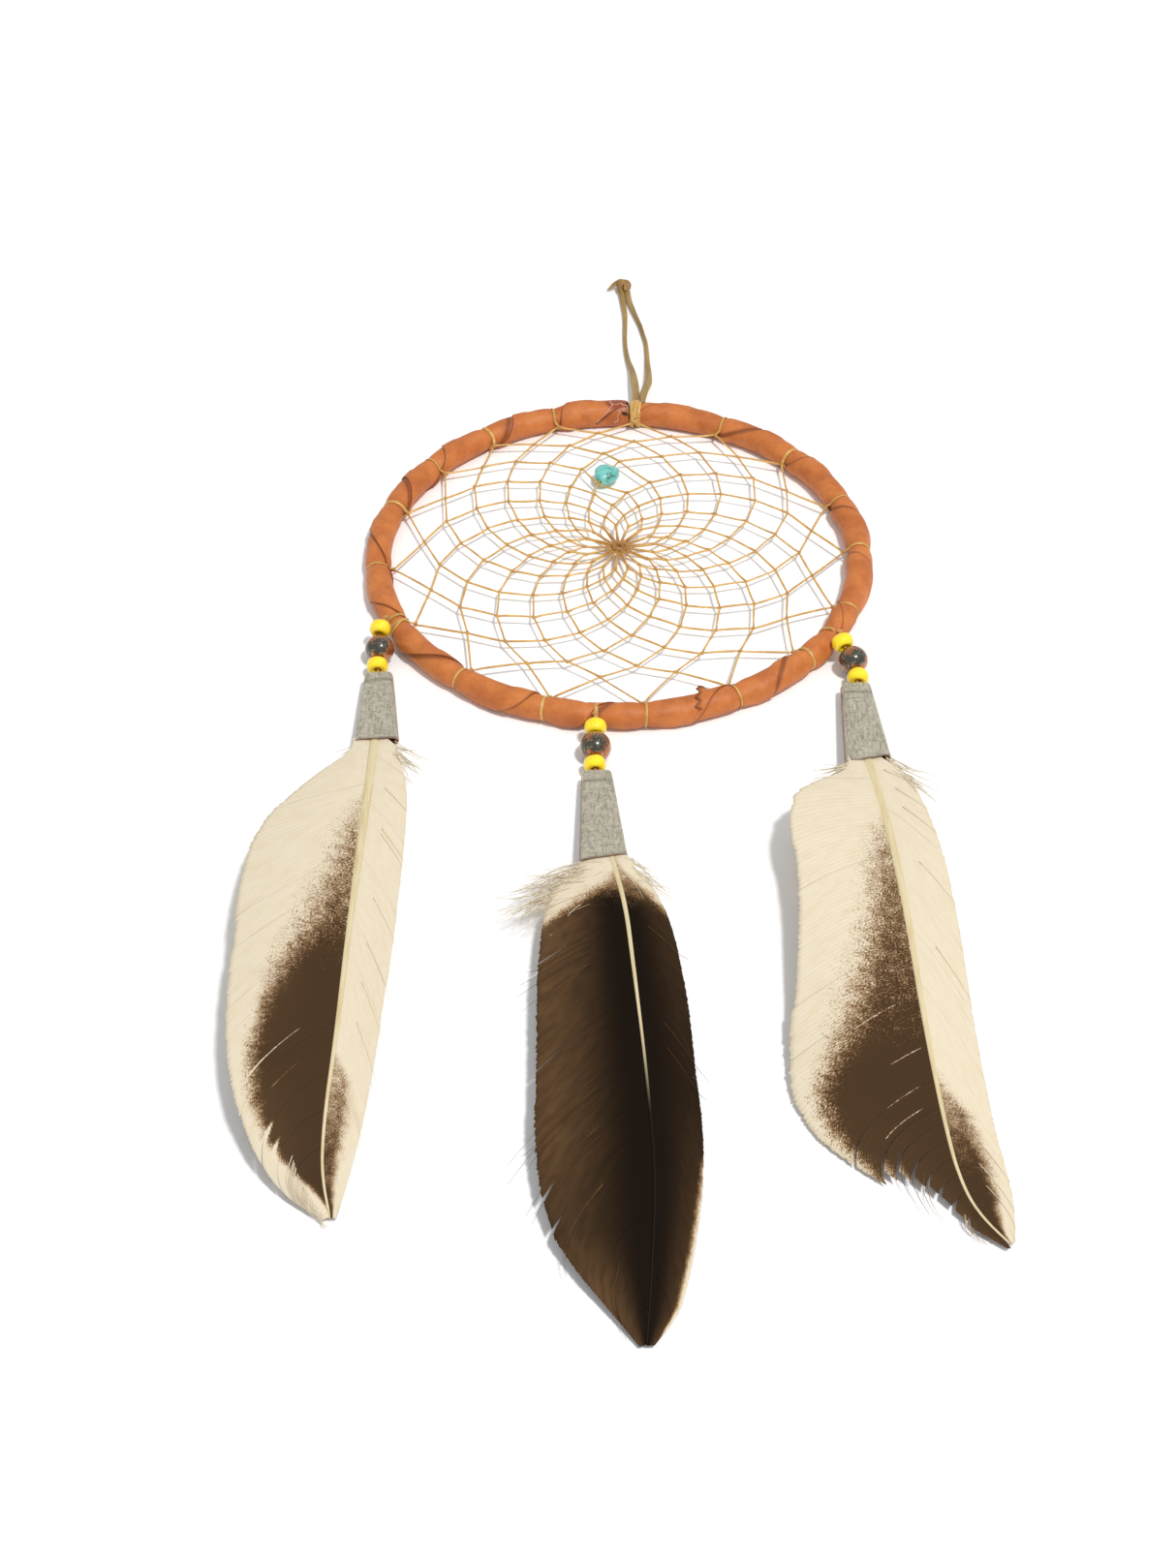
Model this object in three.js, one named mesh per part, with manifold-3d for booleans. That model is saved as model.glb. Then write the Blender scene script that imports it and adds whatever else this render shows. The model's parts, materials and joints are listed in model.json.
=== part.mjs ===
// Dream catcher: a leather-wrapped hoop with a knotted sinew web, a hanging loop and three feather
// pendants. Millimetres, +Z up. It lies on its back on a flat surface: the hoop's plane is parallel
// to the ground, +Y points from the feathers to the hanging loop and +X points to the right.
// The model is laid out about the hoop's centre, and moved at the end so that its origin is the
// middle of the footprint of everything but the hanging loop.
import * as THREE from 'three';
import { mergeVertices } from 'three/addons/utils/BufferGeometryUtils.js';
import Module from 'manifold-3d';

const wasm = await Module();
wasm.setup();

// ---- Driving dimensions -------------------------------------------------------------------------

const GAP = 0.3; // clear space between two pieces that touch on the real object

const hoop = {
  radius: 71, // of the tube's centre line
  coreRadius: 2.4, // bent cane ring
  boreRadius: 2.8, // of the leather tube round it
  bulgeRadius: 3.9, // outside of the leather between two hitches
  pinchRadius: 3.05, // outside of the leather where sinew squeezes it
  leatherSides: 10,
  coreSides: 6,
  shoulder: 0.2, // where a bulge reaches its full size, as a share of the space between pinches
  closePinches: 6, // degrees: pinches closer than this have no bulge between them
  wrapGap: 0.8, // degrees left open each side of the lashing, where the wrap starts and ends
};
// The leather's sides have flat bottoms, and the bulges rest on them.
hoop.height = hoop.bulgeRadius * Math.cos(Math.PI / hoop.leatherSides);

const LASHING_ANGLE = 84.2; // degrees round the hoop from +X
const HITCH_ANGLES = [
  LASHING_ANGLE, 105.3, 124.7, 142.5, 162, 185.4, 208, 230.6, 252.4, 274.6, 296, 316.3, 336.4, 358.6,
  377.9, 399.3, 421.4,
];

const sinew = { width: 0.6, bandWidth: 0.9, bandInner: 3.35, bandOuter: 3.85 };

const web = {
  centre: new THREE.Vector2(0.2, 2.6),
  rimRadius: hoop.radius - 4.6, // measured from the hoop's centre: just short of the hitches
  roundRadii: [58, 53.3, 47, 40.3, 33.2, 26.8, 20.5, 15.2, 10.5, 7], // measured from the web's centre
  holeRadius: 1.3, // the eye in the coil at the middle
};

const chip = {
  strandStart: new THREE.Vector2(-5.8, 33.8), // the two knots that its strand runs between
  strandEnd: new THREE.Vector2(1.3, 45.1),
  along: 5.6, // from the first knot to the chip's middle
  // Round the chip in its own frame, with X along the strand, before the bevel widens it.
  outline: [
    [0.5, -2.5], [1.9, -2.4], [2.6, -1], [1.7, 0], [2.1, 1], [1.7, 2.5], [0.1, 2.9], [-1.4, 2.3],
    [-2.8, 1.1], [-2.9, -0.6], [-1.9, -1.7], [-0.9, -2.2],
  ],
  thickness: 4.2,
  bevel: 0.9,
  boreRadius: 0.85,
};

const pony = { radius: 3.0, length: 4.2, bore: 1.3 };
const round = { radius: 4.0, bore: 1.35 };

const thread = { radius: 0.4, knotRadius: 0.85, tieWidth: 0.8 };

const sleeve = { wall: 0.7, halfHeights: [1.8, 2.5], topWall: 1.6, holeRadius: 0.75 };
const vane = { thickness: 0.6, stations: 14, crown: 0.06 };

// Each pendant hangs from a thread tied round the hoop. Points are [x, y, z] from the hoop's centre,
// with z from the ground. `left` and `right` are the feather's outer edges, from its base to its tip.
const PENDANTS = {
  left: {
    tieAngle: 205.7,
    beads: [[-68, -36.9, 7.1], [-68.1, -42.8, 4.6], [-68.3, -49.2, 3.9]],
    sleeve: { top: [-67.9, -53.4, 3.8], mouth: [-66.5, -83, 6.5], widths: [7.6, 11.5], slants: [0, 0] },
    quill: [
      [-67, -84, 7.1], [-67.5, -110, 9.8], [-68.5, -150, 12], [-69.5, -187, 11.5], [-71, -212, 7.5],
      [-70.5, -225, 3.5], [-68.5, -231, 1.5],
    ],
    left: [
      [-71.5, -85, 7.3], [-81, -98, 9.5], [-93, -116, 11.5], [-96.5, -135, 12], [-96.5, -160, 12.5],
      [-94, -194, 12.5], [-88, -213.5, 9.5], [-82, -223, 3.5], [-74, -229, 1.8], [-69.8, -231.2, 1.5],
    ],
    right: [
      [-62, -84.5, 7.2], [-57.8, -98, 7.5], [-57, -118, 7.5], [-58.5, -155, 6], [-61, -190, 4.5],
      [-63.5, -212, 3], [-66.4, -227, 1.7], [-67.2, -230.8, 1.5],
    ],
  },
  middle: {
    tieAngle: 264,
    beads: [[-7.8, -77.7, 5.9], [-7.9, -83.8, 4.3], [-8.2, -90.2, 3.8]],
    sleeve: { top: [-7.6, -93.9, 3.8], mouth: [-6.3, -128, 6.9], widths: [7.8, 12], slants: [0.03, 0.16] },
    quill: [
      [-4, -130, 7.8], [-1.5, -145, 9.2], [0, -165, 10.5], [2.3, -200, 10.6], [3.3, -225, 9.2],
      [2.2, -245, 6.5], [0.8, -260, 2.6], [0.4, -264, 1.5],
    ],
    left: [
      [-11, -131, 7.6], [-18.5, -137, 8], [-22.5, -158, 8.5], [-23, -195, 8.2], [-23.3, -216, 8],
      [-20, -237, 5.5], [-12, -250, 3.8], [-4, -259.5, 2], [-0.9, -264, 1.5],
    ],
    right: [
      [-0.5, -129.5, 7.6], [4, -135, 7.8], [9, -147, 7.4], [12.5, -169, 6.6], [14, -195, 5.5],
      [14.8, -215, 4.5], [12.3, -238, 3.1], [9, -252, 2.1], [6.2, -260, 1.6], [1.9, -263.8, 1.5],
    ],
  },
  right: {
    tieAngle: 326,
    beads: [[61.7, -46.2, 7.3], [64.4, -51.1, 4.9], [65.2, -57.2, 4]],
    sleeve: { top: [64.2, -61, 3.8], mouth: [64.3, -92.6, 5.8], widths: [8, 12.2], slants: [0.3, 0.25] },
    quill: [
      [64, -94, 6.4], [65.8, -113.6, 8.2], [67, -145, 10.8], [68, -187, 8.7], [70, -214, 4.6],
      [72.5, -229, 2.5], [77.5, -237.5, 1.6], [80.8, -240.5, 1.5],
    ],
    left: [
      [59.5, -96, 7], [52, -103.5, 11.5], [42, -112.5, 15], [39.8, -122, 16], [41, -140, 13.8],
      [39, -165, 10], [36, -188, 4], [36.5, -204, 2], [45, -216, 1.5], [58, -226, 1.5], [71, -236.5, 1.5],
      [79.8, -241.6, 1.5],
    ],
    right: [
      [68.5, -93, 6], [74, -99, 6.1], [79, -120, 6.4], [80.6, -147, 5.8], [80.4, -184, 4.4],
      [81.3, -212, 2.8], [83, -226, 1.8], [81.8, -239.4, 1.5],
    ],
  },
};
const quillRadius = { root: 0.9, mouth: 1.25, tip: 0.35 };
const QUILL_ROOT_DEPTH = 0.6; // how far up the sleeve the quill is pushed, as a share of its length

// The hanging loop is one flat sinew lace: two legs from the lashing to the knot at the tip.
const loop = {
  radius: 0.95,
  legs: {
    left: [
      [7.2, 75.8, 4.3], [7.3, 79.2, 4.2], [7.3, 84, 3.9], [7, 90.7, 3], [6.5, 97.8, 1.9],
      [5.5, 104.3, 1.2], [4.9, 110.2, 1], [4.7, 115.8, 1], [4.8, 121.5, 1], [5, 127.2, 1],
      [5, 132.9, 1.05], [4.7, 137.9, 1.1], [4.4, 143, 1.35], [4.2, 146, 1.5],
    ],
    right: [
      [9.3, 75.8, 4.3], [9.6, 79.2, 4.2], [10.4, 83.4, 3.7], [11.6, 89, 2.8], [11.9, 96.2, 1.8],
      [11.8, 102.6, 1.2], [11.8, 108.4, 1], [11.6, 114.8, 1], [10.8, 120.5, 1], [10, 125.4, 1],
      [8.9, 130.3, 1.05], [7.9, 134.8, 1.1], [6.9, 139.5, 1.25], [6.4, 143.2, 1.4], [6.2, 146, 1.5],
    ],
  },
  knot: { centre: [4.9, 149.4, 2.1], radii: [3.1, 2.9, 1.9] },
  lashing: { inner: 3.4, outer: 3.85, width: 2.6 },
};

const finishes = {
  cane: standard(0xb98a52, 0.7, 0),
  leather: standard(0xc8713f, 0.6, 0),
  sinew: standard(0xbf9443, 0.45, 0),
  yellow: standard(0xf2cf10, 0.18, 0),
  dark: standard(0x2c2823, 0.15, 0.2),
  turquoise: standard(0x4fc9b8, 0.3, 0),
  foil: standard(0xa5a297, 0.4, 0.3),
  quill: standard(0xe9d9ae, 0.5, 0),
  cream: standard(0xe9dcc0, 0.8, 0),
  brown: standard(0x3c2a1b, 0.8, 0),
};

function standard(color, roughness, metalness) {
  return new THREE.MeshStandardMaterial({ color, roughness, metalness });
}

// ---- Shared geometry ----------------------------------------------------------------------------

const radians = THREE.MathUtils.degToRad;
const vector = (point) => new THREE.Vector3(...point);
const curveThrough = (points) => new THREE.CatmullRomCurve3(points.map(vector), false, 'centripetal');

function toSolid(geometry) {
  const bare = geometry.clone();
  bare.deleteAttribute('normal');
  bare.deleteAttribute('uv');
  const merged = mergeVertices(bare, 1e-4);
  return new wasm.Manifold(new wasm.Mesh({
    numProp: 3,
    vertProperties: new Float32Array(merged.attributes.position.array),
    triVerts: new Uint32Array(merged.index.array),
  }));
}

function toGeometry(solid) {
  const mesh = solid.getMesh();
  const geometry = new THREE.BufferGeometry();
  geometry.setAttribute('position', new THREE.BufferAttribute(mesh.vertProperties, 3));
  geometry.setIndex(new THREE.BufferAttribute(mesh.triVerts, 1));
  return geometry;
}

// A closed body through rings of points, all with the same count. Each end is closed by a strip
// between the two halves of its ring, unless the rings run right round and meet.
function loft(rings, endless = false) {
  const count = rings[0].length;
  const index = [];
  const spans = endless ? rings.length : rings.length - 1;
  for (let r = 0; r < spans; r += 1) {
    const here = r * count;
    const next = ((r + 1) % rings.length) * count;
    for (let i = 0; i < count; i += 1) {
      const j = (i + 1) % count;
      index.push(here + i, here + j, next + j, here + i, next + j, next + i);
    }
  }
  if (!endless) {
    const last = (rings.length - 1) * count;
    for (let i = 0; i < count / 2 - 1; i += 1) {
      const j = count - 1 - i;
      index.push(i, j - 1, i + 1, i, j, j - 1);
      index.push(last + i, last + i + 1, last + j - 1, last + i, last + j - 1, last + j);
    }
  }
  const geometry = new THREE.BufferGeometry();
  const points = rings.flat().flatMap((p) => [p.x, p.y, p.z]);
  geometry.setAttribute('position', new THREE.Float32BufferAttribute(points, 3));
  geometry.setIndex(signedVolume(points, index) < 0 ? index.reverse() : index);
  return geometry;
}

function signedVolume(points, index) {
  const corner = (i) => new THREE.Vector3(...points.slice(3 * i, 3 * i + 3));
  let volume = 0;
  for (let t = 0; t < index.length; t += 3) {
    const [a, b, c] = [corner(index[t]), corner(index[t + 1]), corner(index[t + 2])];
    volume += a.dot(b.cross(c)) / 6;
  }
  return volume;
}

// A regular polygon with a flat side downwards, in the plane of two directions.
function polygonRing(centre, across, up, radius, sides) {
  const ring = [];
  for (let i = 0; i < sides; i += 1) {
    const turn = -Math.PI / 2 + ((2 * i + 1) * Math.PI) / sides;
    ring.push(centre.clone().addScaledVector(across, radius * Math.cos(turn))
      .addScaledVector(up, radius * Math.sin(turn)));
  }
  return ring;
}

const UP = new THREE.Vector3(0, 0, 1);
const outwardAt = (degrees) => new THREE.Vector3(Math.cos(radians(degrees)), Math.sin(radians(degrees)), 0);
const hoopPoint = (degrees) => outwardAt(degrees).multiplyScalar(hoop.radius).setZ(hoop.height);

// A flat band bent round the hoop's tube.
function band(inner, outer, width) {
  const shape = new THREE.Shape(flatRing(outer));
  shape.holes.push(new THREE.Path(flatRing(inner)));
  const geometry = new THREE.ExtrudeGeometry(shape, { depth: width, bevelEnabled: false });
  return geometry.translate(0, 0, -width / 2);

  function flatRing(radius) {
    const across = new THREE.Vector3(1, 0, 0);
    const up = new THREE.Vector3(0, 1, 0);
    return polygonRing(new THREE.Vector3(), across, up, radius, hoop.leatherSides)
      .map((p) => new THREE.Vector2(p.x, p.y));
  }
}

// Turns a band's own axes to the hoop's: its X outwards, its Y up, its Z along the tube.
function bandPlace(degrees) {
  const outward = outwardAt(degrees);
  const along = new THREE.Vector3().crossVectors(outward, UP);
  return new THREE.Matrix4().makeBasis(outward, UP, along).setPosition(hoopPoint(degrees));
}

function addPiece(parent, name, geometry, material) {
  const mesh = new THREE.Mesh(geometry, material);
  mesh.name = name;
  parent.add(mesh);
  return mesh;
}

// ---- Hoop ---------------------------------------------------------------------------------------

// Angles of the rings that make the tube: every pinch, and two shoulders between each pair that is
// far enough apart for the leather to bulge.
function hoopStations() {
  const ties = Object.values(PENDANTS).map((pendant) => pendant.tieAngle);
  const pinches = [...HITCH_ANGLES, ...ties].sort((a, b) => a - b);
  const stations = [];
  pinches.forEach((angle, i) => {
    const next = i + 1 < pinches.length ? pinches[i + 1] : pinches[0] + 360;
    const space = next - angle;
    stations.push({ angle, radius: hoop.pinchRadius });
    if (space > hoop.closePinches) {
      stations.push({ angle: angle + hoop.shoulder * space, radius: hoop.bulgeRadius });
      stations.push({ angle: next - hoop.shoulder * space, radius: hoop.bulgeRadius });
    }
  });
  return stations;
}

function makeHoop(parent) {
  const stations = hoopStations();
  const core = stations.map(({ angle }) =>
    polygonRing(hoopPoint(angle), outwardAt(angle), UP, hoop.coreRadius, hoop.coreSides));
  addPiece(parent, 'hoop_core', loft(core, true), finishes.cane);

  const [first, ...rest] = stations;
  const start = { angle: first.angle + hoop.wrapGap, radius: first.radius };
  const end = { angle: first.angle + 360 - hoop.wrapGap, radius: first.radius };
  const outside = [start, ...rest, end].map(({ angle, radius }) =>
    polygonRing(hoopPoint(angle), outwardAt(angle), UP, radius, hoop.leatherSides));
  const bore = [first, ...rest, { angle: first.angle + 359.9 }].map(({ angle }) =>
    polygonRing(hoopPoint(angle), outwardAt(angle), UP, hoop.boreRadius, hoop.coreSides));
  const leather = toSolid(loft(outside)).subtract(toSolid(loft(bore)));
  addPiece(parent, 'leather_wrap', toGeometry(leather), finishes.leather);
}

// ---- Web ----------------------------------------------------------------------------------------

// Knots of the web: round 0 is at the hoop, and each later knot is between two of the round before.
function webKnots() {
  const rounds = [HITCH_ANGLES.map((angle) => {
    const p = outwardAt(angle).multiplyScalar(web.rimRadius);
    return new THREE.Vector2(p.x, p.y);
  })];
  web.roundRadii.forEach((radius) => {
    const before = rounds.at(-1);
    rounds.push(before.map((knot, i) => {
      const a = knot.clone().sub(web.centre).normalize();
      const b = before[(i + 1) % before.length].clone().sub(web.centre).normalize();
      return a.add(b).setLength(radius).add(web.centre);
    }));
  });
  moveNearest(rounds[4], chip.strandEnd);
  moveNearest(rounds[5], chip.strandStart);
  return rounds;
}

// The chip's weight drags the two knots of its own strand out of the even lattice.
function moveNearest(knots, target) {
  const nearest = knots.reduce((a, b) => (a.distanceTo(target) < b.distanceTo(target) ? a : b));
  nearest.copy(target);
}

// Moves each side of a polygon inwards (to the left of its direction) by the same distance.
function inset(points, distance) {
  return points.map((point, i) => {
    const before = points[(i + points.length - 1) % points.length];
    const after = points[(i + 1) % points.length];
    const u = point.clone().sub(before).normalize();
    const v = after.clone().sub(point).normalize();
    const bisector = new THREE.Vector2(-u.y - v.y, u.x + v.x).normalize();
    const reach = distance / (bisector.y * u.x - bisector.x * u.y);
    return point.clone().addScaledVector(bisector, reach);
  });
}

function makeWeb(parent) {
  const rounds = webKnots();
  const count = HITCH_ANGLES.length;
  const rim = [];
  for (let i = 0; i < count; i += 1) {
    rim.push(rounds[0][i], rounds[1][i]);
  }
  const net = new THREE.Shape(inset(rim, -sinew.width / 2));
  for (let r = 2; r < rounds.length; r += 1) {
    for (let i = 0; i < count; i += 1) {
      const j = (i + 1) % count;
      const cell = [rounds[r - 2][j], rounds[r - 1][j], rounds[r][i], rounds[r - 1][i]];
      net.holes.push(new THREE.Path(inset(cell, sinew.width / 2)));
    }
  }
  const eye = new THREE.Path();
  eye.absarc(web.centre.x, web.centre.y, web.holeRadius, 0, 2 * Math.PI, true);
  net.holes.push(eye);
  const settings = { depth: sinew.width, bevelEnabled: false, curveSegments: 8 };
  const sheet = new THREE.ExtrudeGeometry(net, settings);
  sheet.translate(0, 0, hoop.height - sinew.width / 2);
  addPiece(parent, 'web_net', sheet, finishes.sinew);

  // The turns of the web's sinew round the hoop. The lashing takes the place of the first.
  HITCH_ANGLES.slice(1).forEach((angle, i) => {
    const turn = band(sinew.bandInner, sinew.bandOuter, sinew.bandWidth);
    addPiece(parent, `web_hitch_${i + 1}`, turn, finishes.sinew).applyMatrix4(bandPlace(angle));
  });
}

function makeChip(parent) {
  const direction = chip.strandEnd.clone().sub(chip.strandStart).normalize();
  const middle = chip.strandStart.clone().addScaledVector(direction, chip.along);
  const outline = new THREE.Shape();
  const corners = chip.outline.map(([x, y]) => new THREE.Vector2(x, y));
  outline.moveTo(corners.at(-1).x, corners.at(-1).y);
  outline.splineThru(corners);
  const stone = new THREE.ExtrudeGeometry(outline, {
    depth: chip.thickness - 2 * chip.bevel,
    curveSegments: 2,
    bevelThickness: chip.bevel,
    bevelSize: chip.bevel,
    bevelSegments: 1,
  });
  stone.translate(0, 0, chip.bevel - chip.thickness / 2);
  const drillLength = 14;
  const bore = new THREE.CylinderGeometry(chip.boreRadius, chip.boreRadius, drillLength, 8);
  bore.rotateZ(Math.PI / 2);
  const drilled = toGeometry(toSolid(stone).subtract(toSolid(bore)));
  const mesh = addPiece(parent, 'turquoise_chip', drilled, finishes.turquoise);
  mesh.position.set(middle.x, middle.y, hoop.height);
  mesh.rotation.z = direction.angle();
}

// ---- Hanging loop -------------------------------------------------------------------------------

function makeLoop(parent) {
  const lashing = band(loop.lashing.inner, loop.lashing.outer, loop.lashing.width);
  const wound = addPiece(parent, 'loop_lashing', lashing, finishes.sinew);
  wound.applyMatrix4(bandPlace(LASHING_ANGLE));

  const section = new THREE.Shape().absarc(0, 0, loop.radius, 0, 2 * Math.PI);
  Object.entries(loop.legs).forEach(([side, points]) => {
    const leg = new THREE.ExtrudeGeometry(section, {
      steps: 20, curveSegments: 4, bevelEnabled: false, extrudePath: curveThrough(points),
    });
    addPiece(parent, `loop_leg_${side}`, leg, finishes.sinew);
  });
  const knot = addPiece(parent, 'loop_knot', new THREE.IcosahedronGeometry(1, 1), finishes.sinew);
  knot.scale.set(...loop.knot.radii);
  knot.position.set(...loop.knot.centre);
}

// ---- Pendants -----------------------------------------------------------------------------------

// Bead profiles run from one mouth of the bore round the outside and back through the bore.
function ponyBead() {
  const { radius, length, bore } = pony;
  const end = length / 2;
  const profile = [
    [bore, -end + 0.2], [bore + 0.5, -end], [radius - 0.8, -end + 0.3], [radius, -0.7], [radius, 0.7],
    [radius - 0.8, end - 0.3], [bore + 0.5, end], [bore, end - 0.2], [bore, -end + 0.2],
  ];
  return new THREE.LatheGeometry(profile.map(([x, y]) => new THREE.Vector2(x, y)), 12);
}

function roundBead() {
  const { radius, bore } = round;
  const mouth = Math.asin(bore / radius);
  const steps = 8;
  const profile = [];
  for (let i = 0; i <= steps; i += 1) {
    const turn = mouth + (i * (Math.PI - 2 * mouth)) / steps;
    profile.push(new THREE.Vector2(radius * Math.sin(turn), -radius * Math.cos(turn)));
  }
  profile.push(profile[0].clone());
  return new THREE.LatheGeometry(profile, 12);
}

function makeBeads(parent, name, pendant, string) {
  ['upper', 'middle', 'lower'].forEach((place, i) => {
    const isRound = place === 'middle';
    const bead = addPiece(parent, `${name}_bead_${place}`, isRound ? roundBead() : ponyBead(),
      isRound ? finishes.dark : finishes.yellow);
    bead.position.set(...pendant.beads[i]);
    const along = string.getTangent((i + 1) / (pendant.beads.length + 1)).negate();
    bead.quaternion.setFromUnitVectors(new THREE.Vector3(0, 1, 0), along);
  });
}

// The loop of thread round the hoop, the small knot that closes it, and the thread with its stop
// knot, which keeps the sleeve on.
function makeThread(parent, name, pendant) {
  const { tieAngle, beads } = pendant;
  const tie = addPiece(parent, `${name}_tie`, band(sinew.bandInner, sinew.bandOuter, thread.tieWidth),
    finishes.sinew);
  tie.applyMatrix4(bandPlace(tieAngle));

  const reach = sinew.bandOuter + GAP + 0.6;
  const knotAt = hoopPoint(tieAngle)
    .addScaledVector(outwardAt(tieAngle), reach * Math.cos(radians(50)))
    .addScaledVector(UP, reach * Math.sin(radians(50)));
  const knot = addPiece(parent, `${name}_tie_knot`, new THREE.IcosahedronGeometry(0.6, 1), finishes.sinew);
  knot.position.copy(knotAt);

  const top = vector(pendant.sleeve.top);
  const inward = vector(pendant.sleeve.mouth).sub(top).normalize();
  const route = [knotAt, ...beads.map(vector), top];
  const string = new THREE.CatmullRomCurve3(route, false, 'centripetal');
  const outside = string.getSpacedPoints(24).slice(1);
  outside[0] = string.getPointAt(0.06);
  const stopKnot = top.clone().addScaledVector(inward, 4);
  const stations = outside.map((point) => ({ point, radius: thread.radius }));
  stations.push({ point: top.clone().addScaledVector(inward, 2.6), radius: thread.radius });
  stations.push({ point: top.clone().addScaledVector(inward, 3.2), radius: thread.knotRadius });
  stations.push({ point: stopKnot.clone().addScaledVector(inward, 0.4), radius: thread.knotRadius });
  stations.push({ point: stopKnot.clone().addScaledVector(inward, 1.0), radius: thread.radius });
  addPiece(parent, `${name}_thread`, taperedTube(stations, 6), finishes.sinew);
  return string;
}

function taperedTube(stations, sides) {
  const across = new THREE.Vector3(1, 0, 0);
  const rings = stations.map(({ point, radius }, i) => {
    const before = stations[Math.max(i - 1, 0)].point;
    const after = stations[Math.min(i + 1, stations.length - 1)].point;
    const along = after.clone().sub(before).normalize();
    const side = across.clone().addScaledVector(along, -across.dot(along)).normalize();
    return polygonRing(point, side, new THREE.Vector3().crossVectors(along, side), radius, sides);
  });
  return loft(rings);
}

// A flattened trapezoid tube of folded leather. It is closed at the top but for the thread's hole,
// and open at the mouth.
function makeSleeve(parent, name, { top, mouth, widths, slants }) {
  const [from, to] = [vector(top), vector(mouth)];
  const along = to.clone().sub(from).normalize();
  const across = new THREE.Vector3(1, 0, 0).addScaledVector(along, -along.x).normalize();
  const up = new THREE.Vector3().crossVectors(across, along).normalize();
  if (up.z < 0) up.negate();
  const length = from.distanceTo(to);

  const ring = (share, shrink, slantShare) => {
    const halfWidth = THREE.MathUtils.lerp(...widths, share) / 2 - shrink;
    const halfHeight = THREE.MathUtils.lerp(...sleeve.halfHeights, share) - shrink;
    const corner = Math.min(halfHeight, 1.2) * 0.6;
    const slant = THREE.MathUtils.lerp(...slants, slantShare);
    const outline = [
      [halfWidth - corner, -halfHeight], [halfWidth, corner - halfHeight], [halfWidth, halfHeight - corner],
      [halfWidth - corner, halfHeight], [corner - halfWidth, halfHeight], [-halfWidth, halfHeight - corner],
      [-halfWidth, corner - halfHeight], [corner - halfWidth, -halfHeight],
    ];
    return outline.map(([x, z]) => from.clone().addScaledVector(along, share * length - slant * x)
      .addScaledVector(across, x).addScaledVector(up, z));
  };
  const shell = toSolid(loft([ring(0, 0, 0), ring(1, 0, 1)]));
  const hollow = toSolid(loft([ring(sleeve.topWall / length, sleeve.wall, 0), ring(1.1, sleeve.wall, 1)]));
  const hole = new THREE.CylinderGeometry(sleeve.holeRadius, sleeve.holeRadius, 8, 8);
  hole.applyQuaternion(new THREE.Quaternion().setFromUnitVectors(new THREE.Vector3(0, 1, 0), along));
  hole.translate(from.x, from.y, from.z);
  const folded = shell.subtract(hollow).subtract(toSolid(hole));
  addPiece(parent, `${name}_sleeve`, toGeometry(folded), finishes.foil);
}

function makeFeather(parent, name, pendant, finish) {
  const quill = curveThrough(pendant.quill);
  const base = vector(pendant.quill[0]);
  const root = vector(pendant.sleeve.mouth).lerp(vector(pendant.sleeve.top), QUILL_ROOT_DEPTH);
  const steps = 14;
  const stations = [
    { point: root, radius: quillRadius.root },
    { point: root.clone().lerp(base, 0.8), radius: quillRadius.mouth },
  ];
  for (let i = 0; i <= steps; i += 1) {
    stations.push({
      point: quill.getPointAt(i / steps),
      radius: THREE.MathUtils.lerp(quillRadius.mouth, quillRadius.tip, i / steps),
    });
  }
  addPiece(parent, `${name}_feather_quill`, taperedTube(stations, 6), finishes.quill);
  addPiece(parent, `${name}_feather_vane_left`, vaneSheet(quill, pendant.left), finish);
  addPiece(parent, `${name}_feather_vane_right`, vaneSheet(quill, pendant.right), finish);
}

// One vane: a thin sheet from the quill's side to the vane's outer edge, crowned between them.
function vaneSheet(quill, edgePoints) {
  const edge = curveThrough(edgePoints);
  const rings = [];
  for (let i = 0; i <= vane.stations; i += 1) {
    const share = i / vane.stations;
    const spine = quill.getPointAt(share);
    const outer = edge.getPointAt(share);
    const reach = THREE.MathUtils.lerp(quillRadius.mouth, quillRadius.tip, share) + GAP;
    const inner = spine.addScaledVector(outer.clone().sub(spine).normalize(), reach);
    const middle = inner.clone().lerp(outer, 0.5);
    middle.z += vane.crown * inner.distanceTo(outer);
    const half = vane.thickness / 2;
    const upper = [inner, middle, outer].map((p) => p.clone().setZ(p.z + half));
    const lower = [outer, middle, inner].map((p) => p.clone().setZ(p.z - half));
    rings.push([...upper, ...lower]);
  }
  return loft(rings);
}

function makePendant(parent, name, pendant, finish) {
  const string = makeThread(parent, name, pendant);
  makeBeads(parent, name, pendant, string);
  makeSleeve(parent, name, pendant.sleeve);
  makeFeather(parent, name, pendant, finish);
}

// ---- Assembly -----------------------------------------------------------------------------------

const body = new THREE.Group();
makeHoop(body);
makeWeb(body);
makeChip(body);
makePendant(body, 'left', PENDANTS.left, finishes.cream);
makePendant(body, 'middle', PENDANTS.middle, finishes.brown);
makePendant(body, 'right', PENDANTS.right, finishes.cream);

const footprint = new THREE.Box3().setFromObject(body, true).getCenter(new THREE.Vector3());
makeLoop(body);
body.position.set(-footprint.x, -footprint.y, 0);

const dreamCatcher = new THREE.Group();
dreamCatcher.add(body);
export default dreamCatcher;
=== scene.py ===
"""A dream catcher lying on its back: a leather-wound hoop with a knotted sinew web, a hanging loop and
three feather pendants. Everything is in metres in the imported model's frame, and MM turns the sizes
below, which are written in millimetres, into metres."""

import json
import logging
import math
from dataclasses import dataclass, field
from enum import Enum
from typing import Any, Sequence

import bmesh
import bpy
import numpy as np
from mathutils import Matrix, Vector, noise


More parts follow.
